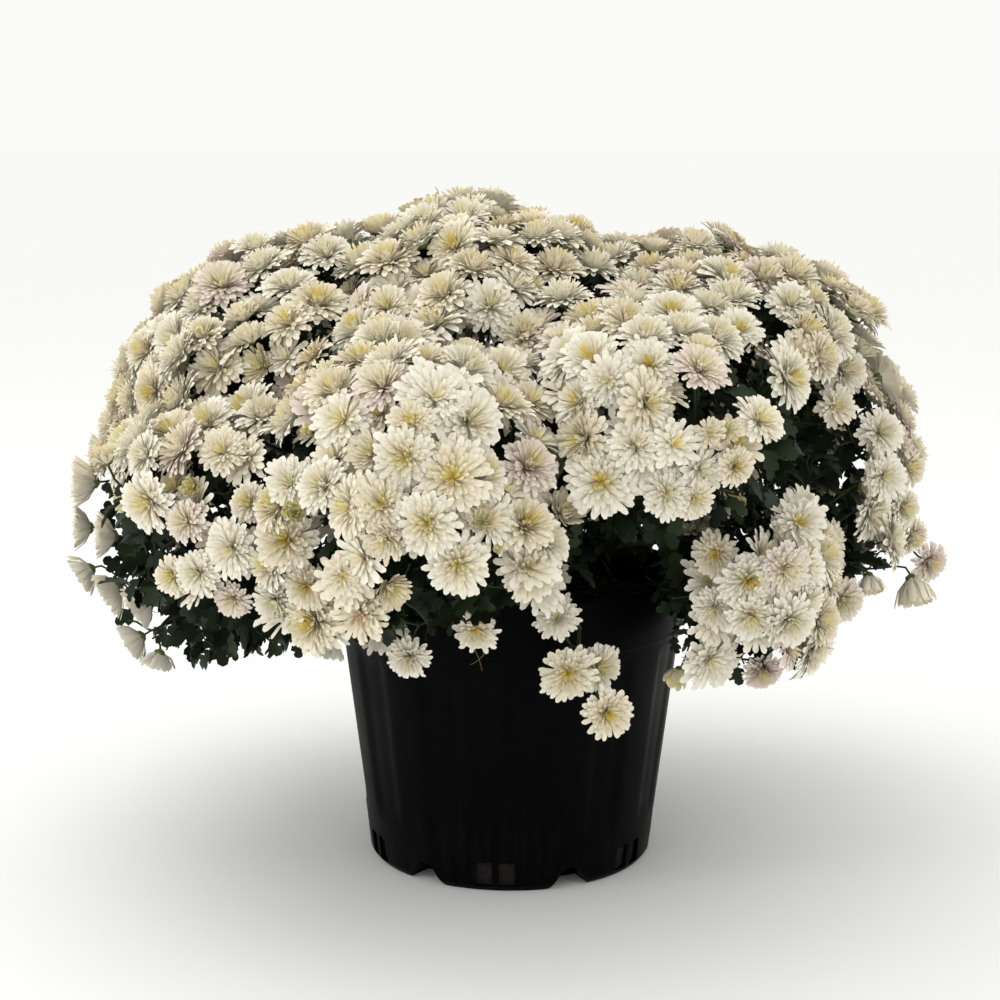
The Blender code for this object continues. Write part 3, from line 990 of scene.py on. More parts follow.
# %% Blooms that the photo singles out
Single = namedtuple("Single", "column row width kind facing y", defaults=(None, None))
OUT_LEFT = (-1.0, -0.25, 0.05)
OUT_DOWN_LEFT = (-0.8, -0.2, -0.5)
OUT_DOWN = (-0.3, -0.1, -0.9)
SINGLES = (
    Single(557, 617, 54, "full", (-0.15, -1.0, 0.35), -0.200),
    Single(568, 674, 64, "full", (-0.10, -1.0, 0.10), -0.205),
    Single(600, 668, 52, "domed", (0.55, -0.9, 0.30), -0.186),
    Single(608, 714, 54, "full", (0.25, -1.0, 0.05), -0.210),
    Single(409, 658, 50, "full", (-0.15, -1.0, -0.15), -0.215),
    Single(476, 631, 54, "loose", (0.10, -1.0, -0.10), -0.205),
    Single(706, 358, 62, "full"),
    Single(800, 355, 60, "loose", (0.10, -1.0, 0.35)),
    Single(852, 368, 58, "domed", (0.45, -0.8, 0.25)),
    Single(841, 403, 46, "loose", (0.15, -1.0, 0.30)),
    Single(742, 322, 48, "full", (0.05, -0.8, 0.55)),
    Single(793, 296, 54, "full", (0.10, -0.7, 0.70)),
    Single(698, 500, 44, "full", (0.10, -1.0, 0.10)),
    Single(770, 412, 62, "loose", (0.45, -0.7, 0.55)),
    Single(712, 431, 38, "half_open", (0.0, -1.0, 0.25)),
    Single(735, 428, 32, "half_open", (0.2, -1.0, 0.25)),
    Single(741, 466, 48, "full", (0.25, -0.9, 0.20)),
    Single(730, 500, 44, "opening", (0.40, -0.8, 0.20), -0.150),
    Single(801, 520, 62, "loose", (0.05, -1.0, 0.35)),
    Single(838, 542, 50, "full", (0.70, -0.7, 0.10)),
    Single(714, 556, 56, "full", (-0.20, -1.0, 0.10)),
    Single(750, 582, 64, "full", (0.0, -1.0, 0.10)),
    Single(790, 572, 60, "full", (0.20, -1.0, 0.0)),
    Single(712, 614, 52, "full", (-0.25, -0.95, -0.10)),
    Single(752, 622, 54, "full", (0.0, -0.95, -0.20)),
    Single(796, 628, 62, "domed", (0.25, -0.9, -0.25)),
    Single(678, 674, 44, "opening", (-0.45, -0.6, -0.75), -0.130),
    Single(712, 660, 58, "full", (0.0, -0.55, -0.80), -0.140),
    Single(763, 672, 50, "full", (0.10, -0.9, -0.45), -0.130),
    Single(842, 601, 52, "domed", (0.20, -0.95, -0.20), -0.070),
    Single(869, 580, 44, "cup", (0.10, -0.4, -0.90), -0.040),
    Single(870, 520, 46, "full", (-0.75, -0.6, 0.10), 0.000),
    Single(886, 430, 50, "domed", (0.20, -0.9, 0.30)),
    Single(892, 477, 50, "full", (0.30, -0.9, 0.10)),
    Single(910, 467, 50, "full", (0.60, -0.8, 0.10), -0.020),
    Single(576, 228, 50, "domed", (0.15, -0.4, 0.90), 0.000),
    Single(905, 508, 44, "full", (0.60, -0.8, 0.0), -0.030),
    Single(914, 537, 44, "domed", (0.70, -0.7, -0.20), -0.020),
    Single(931, 563, 48, "domed", (0.50, -0.8, -0.10), 0.000),
    Single(913, 584, 54, "cup", (0.15, -0.4, -0.90), 0.000),
    Single(832, 280, 44, "half_open", (0.35, -0.4, 0.85), 0.060),
    Single(102, 456, 50, "bell", OUT_LEFT, 0.020),
    Single(88, 482, 60, "bell", OUT_LEFT, -0.010),
    Single(84, 528, 52, "bell", OUT_LEFT, 0.010),
    Single(108, 536, 54, "bell", OUT_LEFT, -0.040),
    Single(86, 572, 52, "bell", OUT_DOWN_LEFT, 0.000),
    Single(113, 592, 58, "bell", OUT_DOWN_LEFT, -0.030),
    Single(142, 602, 56, "bell", OUT_DOWN_LEFT, -0.060),
    Single(136, 640, 54, "bell", OUT_DOWN_LEFT, -0.040),
    Single(158, 658, 48, "bell", OUT_DOWN, -0.050),
    Single(325, 642, 54, "bell", OUT_DOWN, -0.150),
    Single(134, 498, 62, "domed", (-0.75, -0.6, 0.10), -0.060),
    Single(134, 452, 50, "domed", (-0.70, -0.6, 0.30)),
    Single(176, 522, 54, "domed", (-0.55, -0.8, 0.15)),
    Single(163, 578, 42, "full", (-0.40, -0.9, 0.05)),
    Single(192, 575, 50, "full", (-0.30, -0.95, 0.05)),
    Single(226, 550, 58, "full", (-0.30, -0.95, 0.05)),
    Single(243, 500, 48, "domed", (-0.35, -0.8, 0.35)),
    Single(285, 478, 52, "full", (-0.15, -0.9, 0.40)),
    Single(283, 540, 68, "full", (-0.10, -1.0, 0.15)),
    Single(227, 608, 46, "full", (-0.20, -0.9, -0.25)),
    Single(272, 606, 54, "full", (-0.10, -0.95, -0.15)),
    Single(305, 590, 58, "domed", (0.0, -1.0, 0.0)),
    Single(343, 578, 46, "loose", (0.1, -1.0, 0.15)),
    Single(358, 622, 62, "aged", (-0.1, -1.0, -0.2)),
    Single(397, 596, 50, "half_open", (0.5, -0.8, -0.3)),
    Single(218, 446, 54, "full", (-0.2, -0.8, 0.5)),
    Single(293, 511, 44, "opening", (0.0, -1.0, 0.3)),
    Single(187, 486, 40, "opening", (-0.2, -1.0, 0.3)),
    Single(408, 418, 54, "full", (-0.2, -1.0, 0.35)),
    Single(452, 474, 78, "full", (0.0, -1.0, 0.35)),
    Single(425, 524, 76, "full", (-0.1, -1.0, 0.15)),
    Single(458, 566, 72, "full", (0.05, -1.0, 0.10)),
    Single(601, 481, 74, "full", (-0.05, -1.0, 0.20)),
    Single(668, 492, 60, "full", (0.0, -1.0, 0.20)),
)


def nearest_mass(place):
    return min(surfaces, key=lambda name: surfaces[name].find_nearest(place)[3])


def seen_on_crown(column, row):
    """The mass, the point and the normal that the camera sees first along a line of sight."""
    ray = (seen_at(column, row, 0.0) - CAMERA_PLACE).normalized()
    found = []
    for name, tree in surfaces.items():
        point, normal, _, distance = tree.ray_cast(CAMERA_PLACE, ray)
        if point is not None:
            found.append((distance, name, point, normal))
    _, name, point, normal = min(found, key=lambda hit: hit[0])
    return name, point, normal


single_spots = []
for single in SINGLES:
    if single.y is None:
        mass, place, normal = seen_on_crown(single.column, single.row)
    else:
        place = seen_at(single.column, single.row, single.y)
        mass = nearest_mass(place)
        normal = Vector((0.0, -1.0, 0.0))
    facing = Vector(single.facing).normalized() if single.facing else facing_at(place, normal)
    single_spots.append(Spot(mass, place, facing, False))
print("singles:", len(single_spots))

# %% Throw the darts over the rest
rng = np.random.default_rng(21)
darts = [spot for name in crown_names if name != SPRAY for spot in darts_on(name, rng)]
darts = [darts[index] for index in rng.permutation(len(darts))]
TOP_SPACING = 0.0278
SINGLE_ROOM = 0.0270
DEEP_SPACING = 0.026
DEEP_FROM_TOP = 0.0200
LEAFY_SPACING = 0.0225

ALL_GAPS = (*BLOOM_GAPS, *SKY_GAPS, *EDGE_GAPS)
open_darts = [spot for spot in darts if not spot.is_under]
top_spots = spread_out(
    [spot for spot in open_darts if not in_gap(ALL_GAPS, spot.place, BLOOM_MARGIN)],
    TOP_SPACING,
    single_spots,
    SINGLE_ROOM,
)
deep_spots = spread_out(
    [spot for spot in open_darts if not in_gap(ALL_GAPS, spot.place, DEEP_MARGIN)],
    DEEP_SPACING,
    top_spots,
    DEEP_FROM_TOP,
)
leafy_spots = spread_out(
    [
        spot
        for spot in darts
        if (
            spot.is_under
            or in_gap(BLOOM_GAPS, spot.place, LEAFY_MARGIN)
            or in_gap(SKY_GAPS, spot.place, BLOOM_MARGIN)
        )
        and not in_gap(SKY_GAPS, spot.place)
    ],
    LEAFY_SPACING,
)
print("darts:", len(darts), "top:", len(top_spots), "deep:", len(deep_spots))
print("leafy:", len(leafy_spots))

# %% [markdown]
# ## One petal
#
# A petal of this bloom is a narrow strap that widens into a rounded spoon, with its sides
# raised a little so that it forms a channel. It is a small grid of a few faces: the rows set
# its width, and the grid is bent along an arc from its base to its tip.

# %% Petals
PETAL_ROWS = {
    "rim": ((0.0, 0.34), (0.50, 0.84), (0.88, 0.98), (1.0, 0.42)),
    "plain": ((0.0, 0.38), (0.58, 0.96), (0.90, 0.94), (1.0, 0.40)),
    "short": ((0.0, 0.50), (0.70, 1.00), (1.0, 0.50)),
}
PETAL_COLUMNS = {"rim": 2, "plain": 1, "short": 1}


def arc_place(angle, bend, along):
    """How far an arc that starts at an angle has gone forward and up."""
    bend = bend if abs(bend) > 0.01 else 0.01
    end = angle + bend * along
    return (math.sin(end) - math.sin(angle)) / bend, (math.cos(angle) - math.cos(end)) / bend


def petal_shape(kind, length, width, base_rise, tip_rise, channel):
    """A petal from the origin along +X, which rises by two angles at its base and tip."""
    rows = PETAL_ROWS[kind]
    steps = len(rows) - 1
    bm = bmesh.new()
    bmesh.ops.create_grid(bm, x_segments=PETAL_COLUMNS[kind], y_segments=steps, size=0.5)
    for vertex in bm.verts:
        side = -2 * vertex.co.x
        along, share = rows[round((vertex.co.y + 0.5) * steps)]
        bend = tip_rise - base_rise
        forward, up = arc_place(base_rise, bend, along)
        lean = base_rise + bend * along
        half = width / 2 * share
        lift = channel * half * side * side
        vertex.co.x = length * forward - math.sin(lean) * lift
        vertex.co.y = side * half
        vertex.co.z = length * up + math.cos(lean) * lift
    return shape_of(bm)


# %% [markdown]
# ## One bloom
#
# Petals stand on the head in the order in which they grew, each turned by the golden angle
# from the last. Their tips lie evenly over a low dome: the outer petals are long and reach
# its rim, and the inner ones are short and reach its crown. A habit gives that dome and the
# arch of the petals for a kind of bloom, and a bloom of radius 1 is scaled for each copy.

# %% Blooms
GOLDEN_ANGLE = math.radians(137.508)
HEAD_RADIUS = 0.12
HEAD_HEIGHT = 0.10
ZONE_ENDS = (0.66, 0.38, 0.21)
TIP_SPREAD = 0.53
RIM_AGE = 0.18
WIDTH_FALL = 0.7
PLAIN_AGE = 0.64
YOUNGEST_TIP = 0.05
CENTRE_REACH = 0.40
CENTRE_DIP = 0.30

Habit = namedtuple("Habit", "petals reach rim crown arch width mess")
HABITS = {
    "full": Habit(150, 1.00, 0.16, 0.84, (30, -12), (0.225, 0.098), 1.1),
    "loose": Habit(122, 1.00, 0.08, 0.70, (28, -8), (0.240, 0.106), 1.5),
    "domed": Habit(150, 0.98, 0.08, 0.94, (34, -14), (0.225, 0.098), 1.0),
    "deep": Habit(56, 1.00, 0.22, 0.60, (22, -10), (0.270, 0.150), 1.1),
    "half_open": Habit(76, 0.86, 0.60, 0.80, (-14, -22), (0.250, 0.110), 0.8),
    "bell": Habit(84, 0.94, 0.72, 0.80, (-22, -22), (0.300, 0.120), 1.1),
    "cup": Habit(80, 0.70, 0.96, 1.00, (-24, -24), (0.270, 0.110), 1.0),
    "opening": Habit(28, 0.56, 0.95, 0.90, (-30, -20), (0.340, 0.200), 0.6),
    "aged": Habit(116, 0.96, 0.0, 0.54, (34, -16), (0.190, 0.090), 2.1),
}


def ranged(pair, share):
    return pair[0] + (pair[1] - pair[0]) * share


def bloom_shape(habit, rng):
    """A bloom of radius 1 that faces +Z; the zones run from its rim to its centre."""
    petals = []
    for number in range(habit.petals):
        age = number / (habit.petals - 1)
        kind = "rim" if age < RIM_AGE else "plain" if age < PLAIN_AGE else "short"
        spread = max(YOUNGEST_TIP, 1 - age) ** TIP_SPREAD
        tip_across = habit.reach * spread * (1 + rng.normal(0, 0.05 * habit.mess))
        tip_up = ranged((habit.crown, habit.rim), spread**2) + rng.normal(0, 0.03 * habit.mess)
        tip_up -= CENTRE_DIP * max(0.0, 1 - spread / CENTRE_REACH)
        foot_across = HEAD_RADIUS * math.sqrt(1 - age)
        foot_up = HEAD_HEIGHT * age
        chord = math.hypot(tip_across - foot_across, tip_up - foot_up)
        slope = math.atan2(tip_up - foot_up, tip_across - foot_across)
        arch = math.radians(ranged(habit.arch, age) + rng.normal(0, 5 * habit.mess))
        length = chord * arch / math.sin(arch)
        width = ranged(habit.width, age**WIDTH_FALL) * (1 + rng.normal(0, 0.08))
        petal = petal_shape(kind, length, width, slope + arch, slope - arch, rng.uniform(0.15, 0.45))
        azimuth = number * GOLDEN_ANGLE + math.radians(rng.normal(0, 3 * habit.mess))
        matrix = (
            Matrix.Rotation(azimuth, 4, "Z")
            @ Matrix.Translation((foot_across, 0.0, foot_up))
            @ Matrix.Rotation(rng.normal(0, 0.14 * habit.mess), 4, "X")
        )
        zone = sum(spread < end for end in ZONE_ENDS)
        petals.append(placed(Copy(petal, matrix, [zone])))
    return joined_shape(petals)


BLOOM_VARIANTS = {
    "full": 5,
    "loose": 4,
    "domed": 3,
    "deep": 4,
    "half_open": 3,
    "bell": 3,
    "cup": 2,
    "opening": 2,
    "aged": 3,
}
rng = np.random.default_rng(33)
bloom_shapes = {
    kind: [bloom_shape(HABITS[kind], rng) for number in range(count)]
    for kind, count in BLOOM_VARIANTS.items()
}
for kind, shapes in bloom_shapes.items():
    print(kind, "triangles:", int((shapes[0].sizes - 2).sum()))

# %% [markdown]
# ## Petal colours
#
# All blooms are off-white, but no two quite alike: some are pure, some ivory, a few blush at
# the rim, and the old ones brown from the centre. The colours are plain and dealt out bloom
# by bloom, from rim to centre. A petal is soft and almost matt.

# %% Petal finishes
PETAL_COLOURS = {
    "fresh_white_petal": "#f6f1e1",
    "sunlit_ivory_petal": "#f3ebd6",
    "soft_cream_petal": "#efe5cb",
    "frost_blushed_petal": "#eee2d6",
    "cold_rose_petal": "#e3d1c8",
    "pale_lemon_petal": "#f1eac6",
    "young_yellow_petal": "#eee3a8",
    "deep_yellow_petal": "#e8d47c",
    "sun_tanned_petal": "#d2ba94",
    "withered_brown_petal": "#a58862",
    "unopened_green_petal": "#dad89c",
}
petal_names = list(PETAL_COLOURS)
petal_finishes = [
    new_material(name, {
        "Base Color": linear(colour),
        "Roughness": 0.62,
        "Specular IOR Level": 0.28,
        "IOR": 1.42,
    })[0]
    for name, colour in PETAL_COLOURS.items()
]


def palette_of(*short_names):
    """Material numbers for the four zones of a bloom, from words in the names."""
    return [
        next(number for number, name in enumerate(petal_names) if word in name)
        for word in short_names
    ]


Deal = namedtuple("Deal", "share palette")
DEALS = {
    "fresh": (
        Deal(0.28, palette_of("white", "white", "ivory", "lemon")),
        Deal(0.20, palette_of("white", "ivory", "lemon", "young")),
        Deal(0.20, palette_of("ivory", "ivory", "cream", "young")),
        Deal(0.11, palette_of("ivory", "cream", "lemon", "deep")),
        Deal(0.08, palette_of("white", "white", "lemon", "deep")),
        Deal(0.07, palette_of("blush", "ivory", "ivory", "lemon")),
        Deal(0.03, palette_of("blush", "blush", "cream", "young")),
        Deal(0.01, palette_of("rose", "blush", "cream", "tanned")),
    ),
    "aged": (
        Deal(0.50, palette_of("blush", "cream", "cream", "tanned")),
        Deal(0.30, palette_of("cream", "cream", "tanned", "tanned")),
        Deal(0.20, palette_of("rose", "cream", "tanned", "withered")),
    ),
    "young": (
        Deal(0.65, palette_of("ivory", "ivory", "lemon", "young")),
        Deal(0.35, palette_of("cream", "lemon", "lemon", "green")),
    ),
    # The side deal, for the bells at the edge, always has white outer petals: painted light that stands in
    # for the daylight that would shine through their thin petals.
    "side": (
        Deal(0.70, palette_of("white", "ivory", "lemon", "young")),
        Deal(0.30, palette_of("white", "blush", "cream", "young")),
    ),
    "opening": (
        Deal(0.60, palette_of("lemon", "young", "young", "young")),
        Deal(0.40, palette_of("young", "lemon", "green", "green")),
    ),
}
DEAL_OF_KIND = {"half_open": "young", "bell": "side", "cup": "young", "opening": "opening", "aged": "aged"}


def dealt(kind, rng):
    deals = DEALS[DEAL_OF_KIND.get(kind, "fresh")]
    shares = np.array([deal.share for deal in deals])
    return deals[int(rng.choice(len(deals), p=shares / shares.sum()))].palette


# %% [markdown]
# ## The blooms of the plant
#
# A bloom's base lies a little under the frame's surface, so that its rim reaches it. Most
# blooms are fully open, and a few are half open, in bud or past their best. Some stand alone
# where the photo shows them, over the rim and in the gaps.

# %% Deal out the blooms
Bloom = namedtuple("Bloom", "mass base facing kind radius")
KIND_SHARES = {
    "full": 0.42,
    "loose": 0.20,
    "domed": 0.21,
    "half_open": 0.09,
    "opening": 0.02,
    "aged": 0.06,
}
RADIUS_RANGE = {
    "full": (0.0220, 0.0255),
    "loose": (0.0220, 0.0255),
    "domed": (0.0215, 0.0245),
    "deep": (0.0200, 0.0235),
    "half_open": (0.0140, 0.0180),
    "opening": (0.0080, 0.0105),
    "aged": (0.0210, 0.0240),
}
TOP_DEPTH = (0.0155, 0.0200)
DEEP_DEPTH = (0.0240, 0.0310)
LEAFY_DEPTH = (0.012, 0.045)


VALLEY_WIDTH = 0.030
VALLEY_RISE = 0.012


def valley_rise(spot):
    """How much higher a bloom stands in the valley between two masses."""
    distances = [
        tree.find_nearest(spot.place, VALLEY_WIDTH)[3]
        for name, tree in surfaces.items()
        if name != spot.mass
    ]
    nearest = min((d for d in distances if d is not None), default=VALLEY_WIDTH)
    return VALLEY_RISE * (1 - nearest / VALLEY_WIDTH)


def bloom_at(spot, kind, depth, rng):
    """A bloom whose base lies under a spot on the surface."""
    base = spot.place - spot.facing * (rng.uniform(*depth) - valley_rise(spot))
    return Bloom(spot.mass, base, spot.facing, kind, rng.uniform(*RADIUS_RANGE[kind]))


rng = np.random.default_rng(44)
kinds = list(KIND_SHARES)
chances = np.array(list(KIND_SHARES.values()))
blooms = [
    bloom_at(spot, kinds[int(rng.choice(len(kinds), p=chances))], TOP_DEPTH, rng)
    for spot in top_spots
]
blooms += [bloom_at(spot, "deep", DEEP_DEPTH, rng) for spot in deep_spots]
leafy_ends = [
    Bloom(spot.mass, spot.place - spot.facing * rng.uniform(*LEAFY_DEPTH), spot.facing, "leafy", 0.0)
    for spot in leafy_spots
]

for single, spot in zip(SINGLES, single_spots):
    away = (spot.place - CAMERA_PLACE).dot(AHEAD)
    radius = single.width / 2 * away / FOCAL_PIXELS
    sunk = 0.3 * radius if single.y is not None else rng.uniform(*TOP_DEPTH) * 0.8
    blooms.append(Bloom(spot.mass, spot.place - spot.facing * sunk, spot.facing, single.kind, radius))
print("blooms:", len(blooms))

# %% Join the blooms, part by part of the crown
CROWN_PARTS = {
    "top": ("crown_top",),
    "left": ("crown_left_shoulder", "crown_left_low", "crown_left_edge"),
    "right": ("crown_right_dome", "crown_right_edge", "crown_right_low"),
    "front": ("crown_front_left", "crown_front_right", "crown_front_spray"),
    "back_left": ("crown_back_left", "crown_back"),
    "back_right": ("crown_back_right",),
}
SQUASH = 0.07

rng = np.random.default_rng(55)
for part, masses in CROWN_PARTS.items():
    copies = []
    for bloom in blooms:
        if bloom.mass in masses:
            shapes = bloom_shapes[bloom.kind]
            scale = bloom.radius * (1 + rng.normal(0, SQUASH, 3))
            matrix = facing_matrix(bloom.base, bloom.facing, rng.uniform(0, math.tau), scale)
            shape = shapes[int(rng.integers(len(shapes)))]
            copies.append(Copy(shape, matrix, dealt(bloom.kind, rng)))
    mesh = mesh_from_copies(f"blossom_{part}", copies)
    add_piece(f"blossom_{part}", mesh, petal_finishes, masses)
    print(f"blossom_{part}:", len(copies), "blooms,", triangle_count(mesh), "triangles")

# %% [markdown]
# ## Shoots
#
# From the tip of each bough the shoots fork again and again: a group of blooms is parted in
# two across its longest direction, a shoot grows a part of the way towards each half, and so
# on until each bloom has its own stalk, which arrives along the bloom's own direction. A
# shoot is as thick as the number of blooms on it asks for.

# %% Grow the shoots
Shoot = namedtuple("Shoot", "line radii members end_kind")
FORK_SHARE = 0.42
STALK_RADIUS = 0.0009
LIMB_RADIUS = 0.0019
SHOOT_POWER = 1 / 2.6
SHOOT_SAG = 0.05
STALK_POINTS = 5
LIMB_POINTS = 3


def shoot_radius(members):
    return min(LIMB_RADIUS, STALK_RADIUS * members**SHOOT_POWER)


def bezier(start, pull, push, end, count):
    """A line of points from a start to an end, shaped by two handles."""
    line = []
    for step in range(count):
        t = step / (count - 1)
        u = 1 - t
        line.append(start * u**3 + pull * 3 * u * u * t + push * 3 * u * t * t + end * t**3)
    return line


def halves(members):
    """A group of blooms parted in two across its longest direction."""
    places = np.array([bloom.base for bloom in members])
    centred = places - places.mean(axis=0)
    _, _, axes = np.linalg.svd(centred, full_matrices=False)
    order = np.argsort(centred @ axes[0])
    middle = len(members) // 2
    return [members[i] for i in order[:middle]], [members[i] for i in order[middle:]]


def grow(start, heading, members, shoots, rng):
    """Grow shoots from a point to all the blooms of a group."""
    if len(members) == 1:
        bloom = members[0]
        reach = (bloom.base - start).length
        pull = start + heading * reach * 0.38
        push = bloom.base - bloom.facing * min(reach * 0.45, 0.035)
        line = bezier(start, pull, push, bloom.base, STALK_POINTS)
        shoots.append(Shoot(line, [STALK_RADIUS] * STALK_POINTS, 1, bloom.kind))
        return
    middle = sum((bloom.base for bloom in members), Vector()) / len(members)
    fork = start.lerp(middle, FORK_SHARE)
    reach = (fork - start).length
    fork += Vector(rng.normal(0, 0.07 * reach, 3)) - Vector((0, 0, SHOOT_SAG * reach))
    arrival = (middle - fork).normalized()
    pull = start + heading * reach * 0.4
    line = bezier(start, pull, fork - arrival * reach * 0.3, fork, LIMB_POINTS)
    radii = [shoot_radius(len(members))] * LIMB_POINTS
    shoots.append(Shoot(line, radii, len(members), "fork"))
    onward = (line[-1] - line[-2]).normalized()
    for half in halves(members):
        target = sum((bloom.base for bloom in half), Vector()) / len(half)
        turned = (onward + (target - fork).normalized()).normalized()
        grow(fork, turned, half, shoots, rng)


def bough_end(mass):
    """The tip of a mass's own bough, or the nearest one, and its direction."""
    own = mass.replace("crown_", "bough_")
    if own not in bough_lines:
        low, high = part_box(mass)
        middle = (low + high) / 2
        own = min(bough_lines, key=lambda name: (bough_lines[name][-1] - middle).length)
    line = bough_lines[own]
    return line[-1], (line[-1] - line[-2]).normalized()


rng = np.random.default_rng(66)
shoots = []
for name in crown_names:
    tip, heading = bough_end(name)
    members = [end for end in (*blooms, *leafy_ends) if end.mass == name]
    grow(tip, heading, members, shoots, rng)
print("shoots:", len(shoots))

# %% Shoot finishes and pieces
green_shoot, _, _ = new_material("downy_green_shoot", {
    "Base Color": linear("#2f3d20"),
    "Roughness": 0.6,
    "Specular IOR Level": 0.2,
})
woody_shoot, _, _ = new_material("half_ripened_shoot", {
    "Base Color": linear("#282c1b"),
    "Roughness": 0.8,
    "Specular IOR Level": 0.2,
})
stalks = [shoot for shoot in shoots if shoot.members == 1]
limbs = [shoot for shoot in shoots if shoot.members > 1]
for name, group, finish, roundness in (
    ("green_stalks", stalks, green_shoot, 0),
    ("forked_shoots", limbs, woody_shoot, 1),
):
    mesh = curve_tubes(name, [(shoot.line, shoot.radii) for shoot in group], roundness)
    mesh.shade_smooth()
    add_piece(name, mesh, [finish])
    print(name, "triangles:", triangle_count(mesh))

# %% [markdown]
# Two dry threads hang over the front of the rim, and one withered tip sticks up at the very
# top, where a shoot has died back.

# %% Dry threads
DryThread = namedtuple("DryThread", "y places")
DRY_THREADS = (
    DryThread(-0.178, ((470, 640), (476, 652), (480, 662), (482, 671))),
    DryThread(-0.180, ((488, 642), (484, 654), (477, 661), (470, 665))),
    DryThread(0.020, ((442, 204), (439, 197), (438, 191), (435, 187))),
)
THREAD_RADIUS = 0.0005
straw, _, _ = new_material("dry_straw_thread", {
    "Base Color": linear("#6b5233"),
    "Roughness": 0.85,
})
strands = []
for thread in DRY_THREADS:
    line = smooth_line([seen_at(column, row, thread.y) for column, row in thread.places], 9)
    strands.append((line, np.linspace(THREAD_RADIUS, THREAD_RADIUS / 2, len(line))))
thread_mesh = curve_tubes("dry_threads", strands, 1)
thread_mesh.shade_smooth()
add_piece("dry_threads", thread_mesh, [straw])

# %% [markdown]
# ## Green cups under the blooms
#
# Each bloom sits in a cup of overlapping green scales. It is a small turned bowl, joined for
# all blooms into one piece.

# %% Bloom cups
CUP_SIDES = 7
bm = bmesh.new()
wire_of(bm, [(0.05, -0.10), (0.23, 0.00), (0.25, 0.17)])
spin_wire(bm, CUP_SIDES)
cup_shape = shape_of(bm)
cup_finish, _, _ = new_material("scaly_green_bract", {
    "Base Color": linear("#68733f"),
    "Roughness": 0.6,
})
cup_copies = [
    Copy(cup_shape, facing_matrix(bloom.base, bloom.facing, 0.0, [bloom.radius] * 3), [0])
    for bloom in blooms
]
cup_mesh = mesh_from_copies("bloom_cups", cup_copies)
add_piece("bloom_cups", cup_mesh, [cup_finish])
print("cup triangles:", triangle_count(cup_mesh))

# %% [markdown]
# ## Leaves
#
# The leaf is cut into rounded lobes, with a fold along its midrib and a drooping tip. It is
# again a small grid whose rows swell and narrow. Leaves stand along the shoots, turned by
# the golden angle, larger lower down, and with their upper side to the light.

# %% One leaf
LeafRow = namedtuple("LeafRow", "along half_width forward")
LEAF_ROWS = (
    LeafRow(0.00, 0.022, 0.00),
    LeafRow(0.18, 0.035, 0.00),
    LeafRow(0.25, 0.190, 0.03),
    LeafRow(0.38, 0.250, 0.07),
    LeafRow(0.48, 0.120, 0.00),
    LeafRow(0.57, 0.250, 0.04),
    LeafRow(0.70, 0.260, 0.07),
    LeafRow(0.79, 0.120, 0.00),
    LeafRow(0.87, 0.150, 0.03),
    LeafRow(0.98, 0.070, 0.02),
    LeafRow(1.00, 0.000, 0.00),
)


def leaf_shape(base_rise, tip_rise, fold, width):
    """A lobed leaf of length 1 from the origin along +X."""
    steps = len(LEAF_ROWS) - 1
    bm = bmesh.new()
    bmesh.ops.create_grid(bm, x_segments=2, y_segments=steps, size=0.5)
    for vertex in bm.verts:
        side = -2 * vertex.co.x
        row = LEAF_ROWS[round((vertex.co.y + 0.5) * steps)]
        along = row.along + row.forward * abs(side)
        forward, up = arc_place(base_rise, tip_rise - base_rise, along)
        vertex.co.x = forward
        vertex.co.y = side * row.half_width * width
        vertex.co.z = up + fold * abs(side) * row.half_width
    bmesh.ops.remove_doubles(bm, verts=bm.verts, dist=1e-4)
    return shape_of(bm)


rng = np.random.default_rng(77)
LEAF_VARIANTS = 8
leaf_shapes = [
    leaf_shape(
        math.radians(rng.uniform(5, 30)),
        math.radians(rng.uniform(-60, -15)),
        rng.uniform(0.1, 0.5),
        rng.uniform(0.85, 1.2),
    )
    for number in range(LEAF_VARIANTS)
]

# %% Leaves along the shoots
# These greens are partly the leaves' own dark colour and partly painted shade: they are made darker so that
# the leaves deep in the crown and in its gaps look shaded.
LEAF_COLOURS = {
    "deep_green_waxy_leaf": "#141e10",
    "dark_green_waxy_leaf": "#1a2613",
    "mid_green_waxy_leaf": "#22301a",
    "greyed_green_leaf": "#293321",
}
leaf_finishes = [
    new_material(name, {
        "Base Color": linear(colour),
        "Roughness": 0.5,
        "Specular IOR Level": 0.14,
    })[0]
    for name, colour in LEAF_COLOURS.items()
]
LEAF_SHARES = (0.30, 0.35, 0.20, 0.15)
LEAF_STEP = 0.0075
LEAF_LENGTH = (0.022, 0.038)
LEAF_SPREAD = math.radians(55)
FIRST_LEAF = {"fork": 0.006, "leafy": 0.001}
FIRST_LEAF_UNDER_BLOOM = 0.014
SKY_LEAF_SHARE = 0.4
LEAF_ROOM_IN_BLOOM = 0.60
LEAF_CLEARANCE = 0.002
NEAR_BLOOM = 0.034
MOST_STALKS_WITH_LEAVES = 12
LEAF_REACH_OUT = 0.004
SHRINKS = (1.0, 0.75, 0.55)

bloom_tree = KDTree(len(blooms))
for number, bloom in enumerate(blooms):
    bloom_tree.insert(bloom.base + bloom.facing * bloom.radius * 0.3, number)
bloom_tree.balance()


def pokes_a_bloom(point):
    """Whether a point is in a bloom, or over the base of one beside it."""
    for _, number, distance in bloom_tree.find_range(point, NEAR_BLOOM):
        bloom = blooms[number]
        if distance < bloom.radius * LEAF_ROOM_IN_BLOOM:
            return True
        if bloom.kind != "deep" and (point - bloom.base).dot(bloom.facing) > -LEAF_CLEARANCE:
            return True
    return False


def out_of_crown(point):
    """How far a point lies out of the nearest mass of the crown."""
    hits = [tree.find_nearest(point) for tree in surfaces.values()]
    place, normal, _, distance = min(hits, key=lambda hit: hit[3])
    return math.copysign(distance, (point - place).dot(normal))


def over_the_mix(point):
    return point.xy.length < RIM_RADIUS and point.z < POT_HEIGHT + 0.004


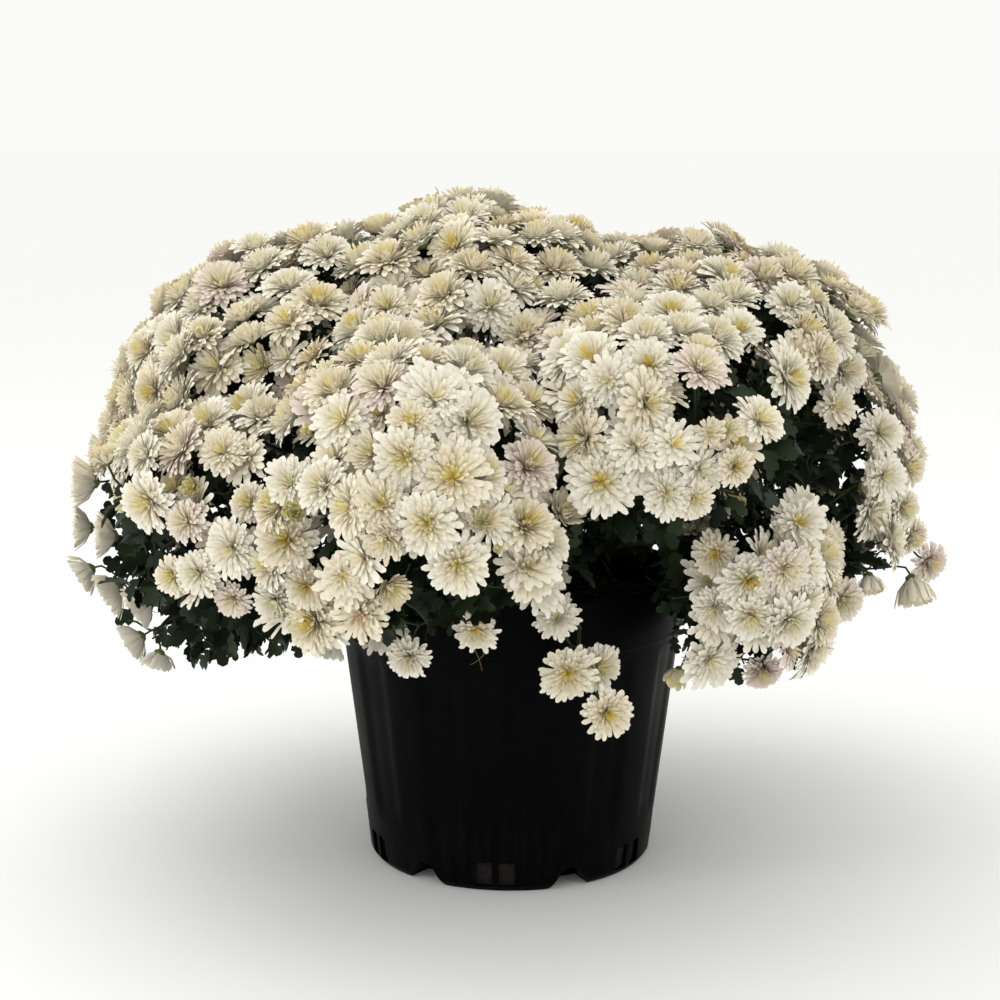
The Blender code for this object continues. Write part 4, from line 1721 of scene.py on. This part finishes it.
def along_line(line, distance):
    """The point and the direction at a distance from the end of a line."""
    for end, start in zip(line[::-1], line[-2::-1]):
        span = (end - start).length
        if distance < span:
            return end.lerp(start, distance / span), (end - start).normalized()
        distance -= span
    return None


def leaf_matrix(place, axis, azimuth, length):
    """A leaf that leaves the shoot at an angle, with its upper side up and inwards."""
    outward = axis.orthogonal().normalized()
    outward.rotate(Matrix.Rotation(azimuth, 3, axis))
    forward = axis * math.cos(LEAF_SPREAD) + outward * math.sin(LEAF_SPREAD)
    top = axis + Vector((0, 0, 0.9))
    top = (top - forward * top.dot(forward)).normalized()
    turn = Matrix((forward, top.cross(forward), top)).transposed().to_4x4()
    return Matrix.Translation(place) @ turn @ Matrix.Diagonal((length, length, length, 1.0))


rng = np.random.default_rng(88)
leaf_copies = []
for shoot in shoots:
    if shoot.members > MOST_STALKS_WITH_LEAVES:
        continue
    distance = FIRST_LEAF.get(shoot.end_kind, FIRST_LEAF_UNDER_BLOOM)
    distance += rng.uniform(0, LEAF_STEP * 0.5)
    azimuth = rng.uniform(0, math.tau)
    while found := along_line(shoot.line, distance):
        place, axis = found
        length = rng.uniform(*LEAF_LENGTH)
        if shoot.end_kind not in FIRST_LEAF:
            length = min(length, (distance - 0.002) / math.cos(LEAF_SPREAD))
        azimuth += GOLDEN_ANGLE
        distance += LEAF_STEP * rng.uniform(0.8, 1.3)
        shape = leaf_shapes[int(rng.integers(LEAF_VARIANTS))]
        finish = int(rng.choice(4, p=LEAF_SHARES))
        if in_gap(SKY_GAPS, place) and rng.uniform() > SKY_LEAF_SHARE:
            continue
        for shrink in SHRINKS:
            matrix = leaf_matrix(place, axis, azimuth, length * shrink)
            tip = matrix @ Vector((0.95, 0.0, 0.0))
            middle = matrix @ Vector((0.55, 0.0, 0.0))
            is_free = not (pokes_a_bloom(tip) or pokes_a_bloom(middle) or over_the_mix(tip))
            if is_free and out_of_crown(tip) < LEAF_REACH_OUT:
                leaf_copies.append(Copy(shape, matrix, [finish]))
                break
leaf_mesh = mesh_from_copies("lobed_leaves", leaf_copies)
add_piece("lobed_leaves", leaf_mesh, leaf_finishes)
print("leaves:", len(leaf_copies), "triangles:", triangle_count(leaf_mesh))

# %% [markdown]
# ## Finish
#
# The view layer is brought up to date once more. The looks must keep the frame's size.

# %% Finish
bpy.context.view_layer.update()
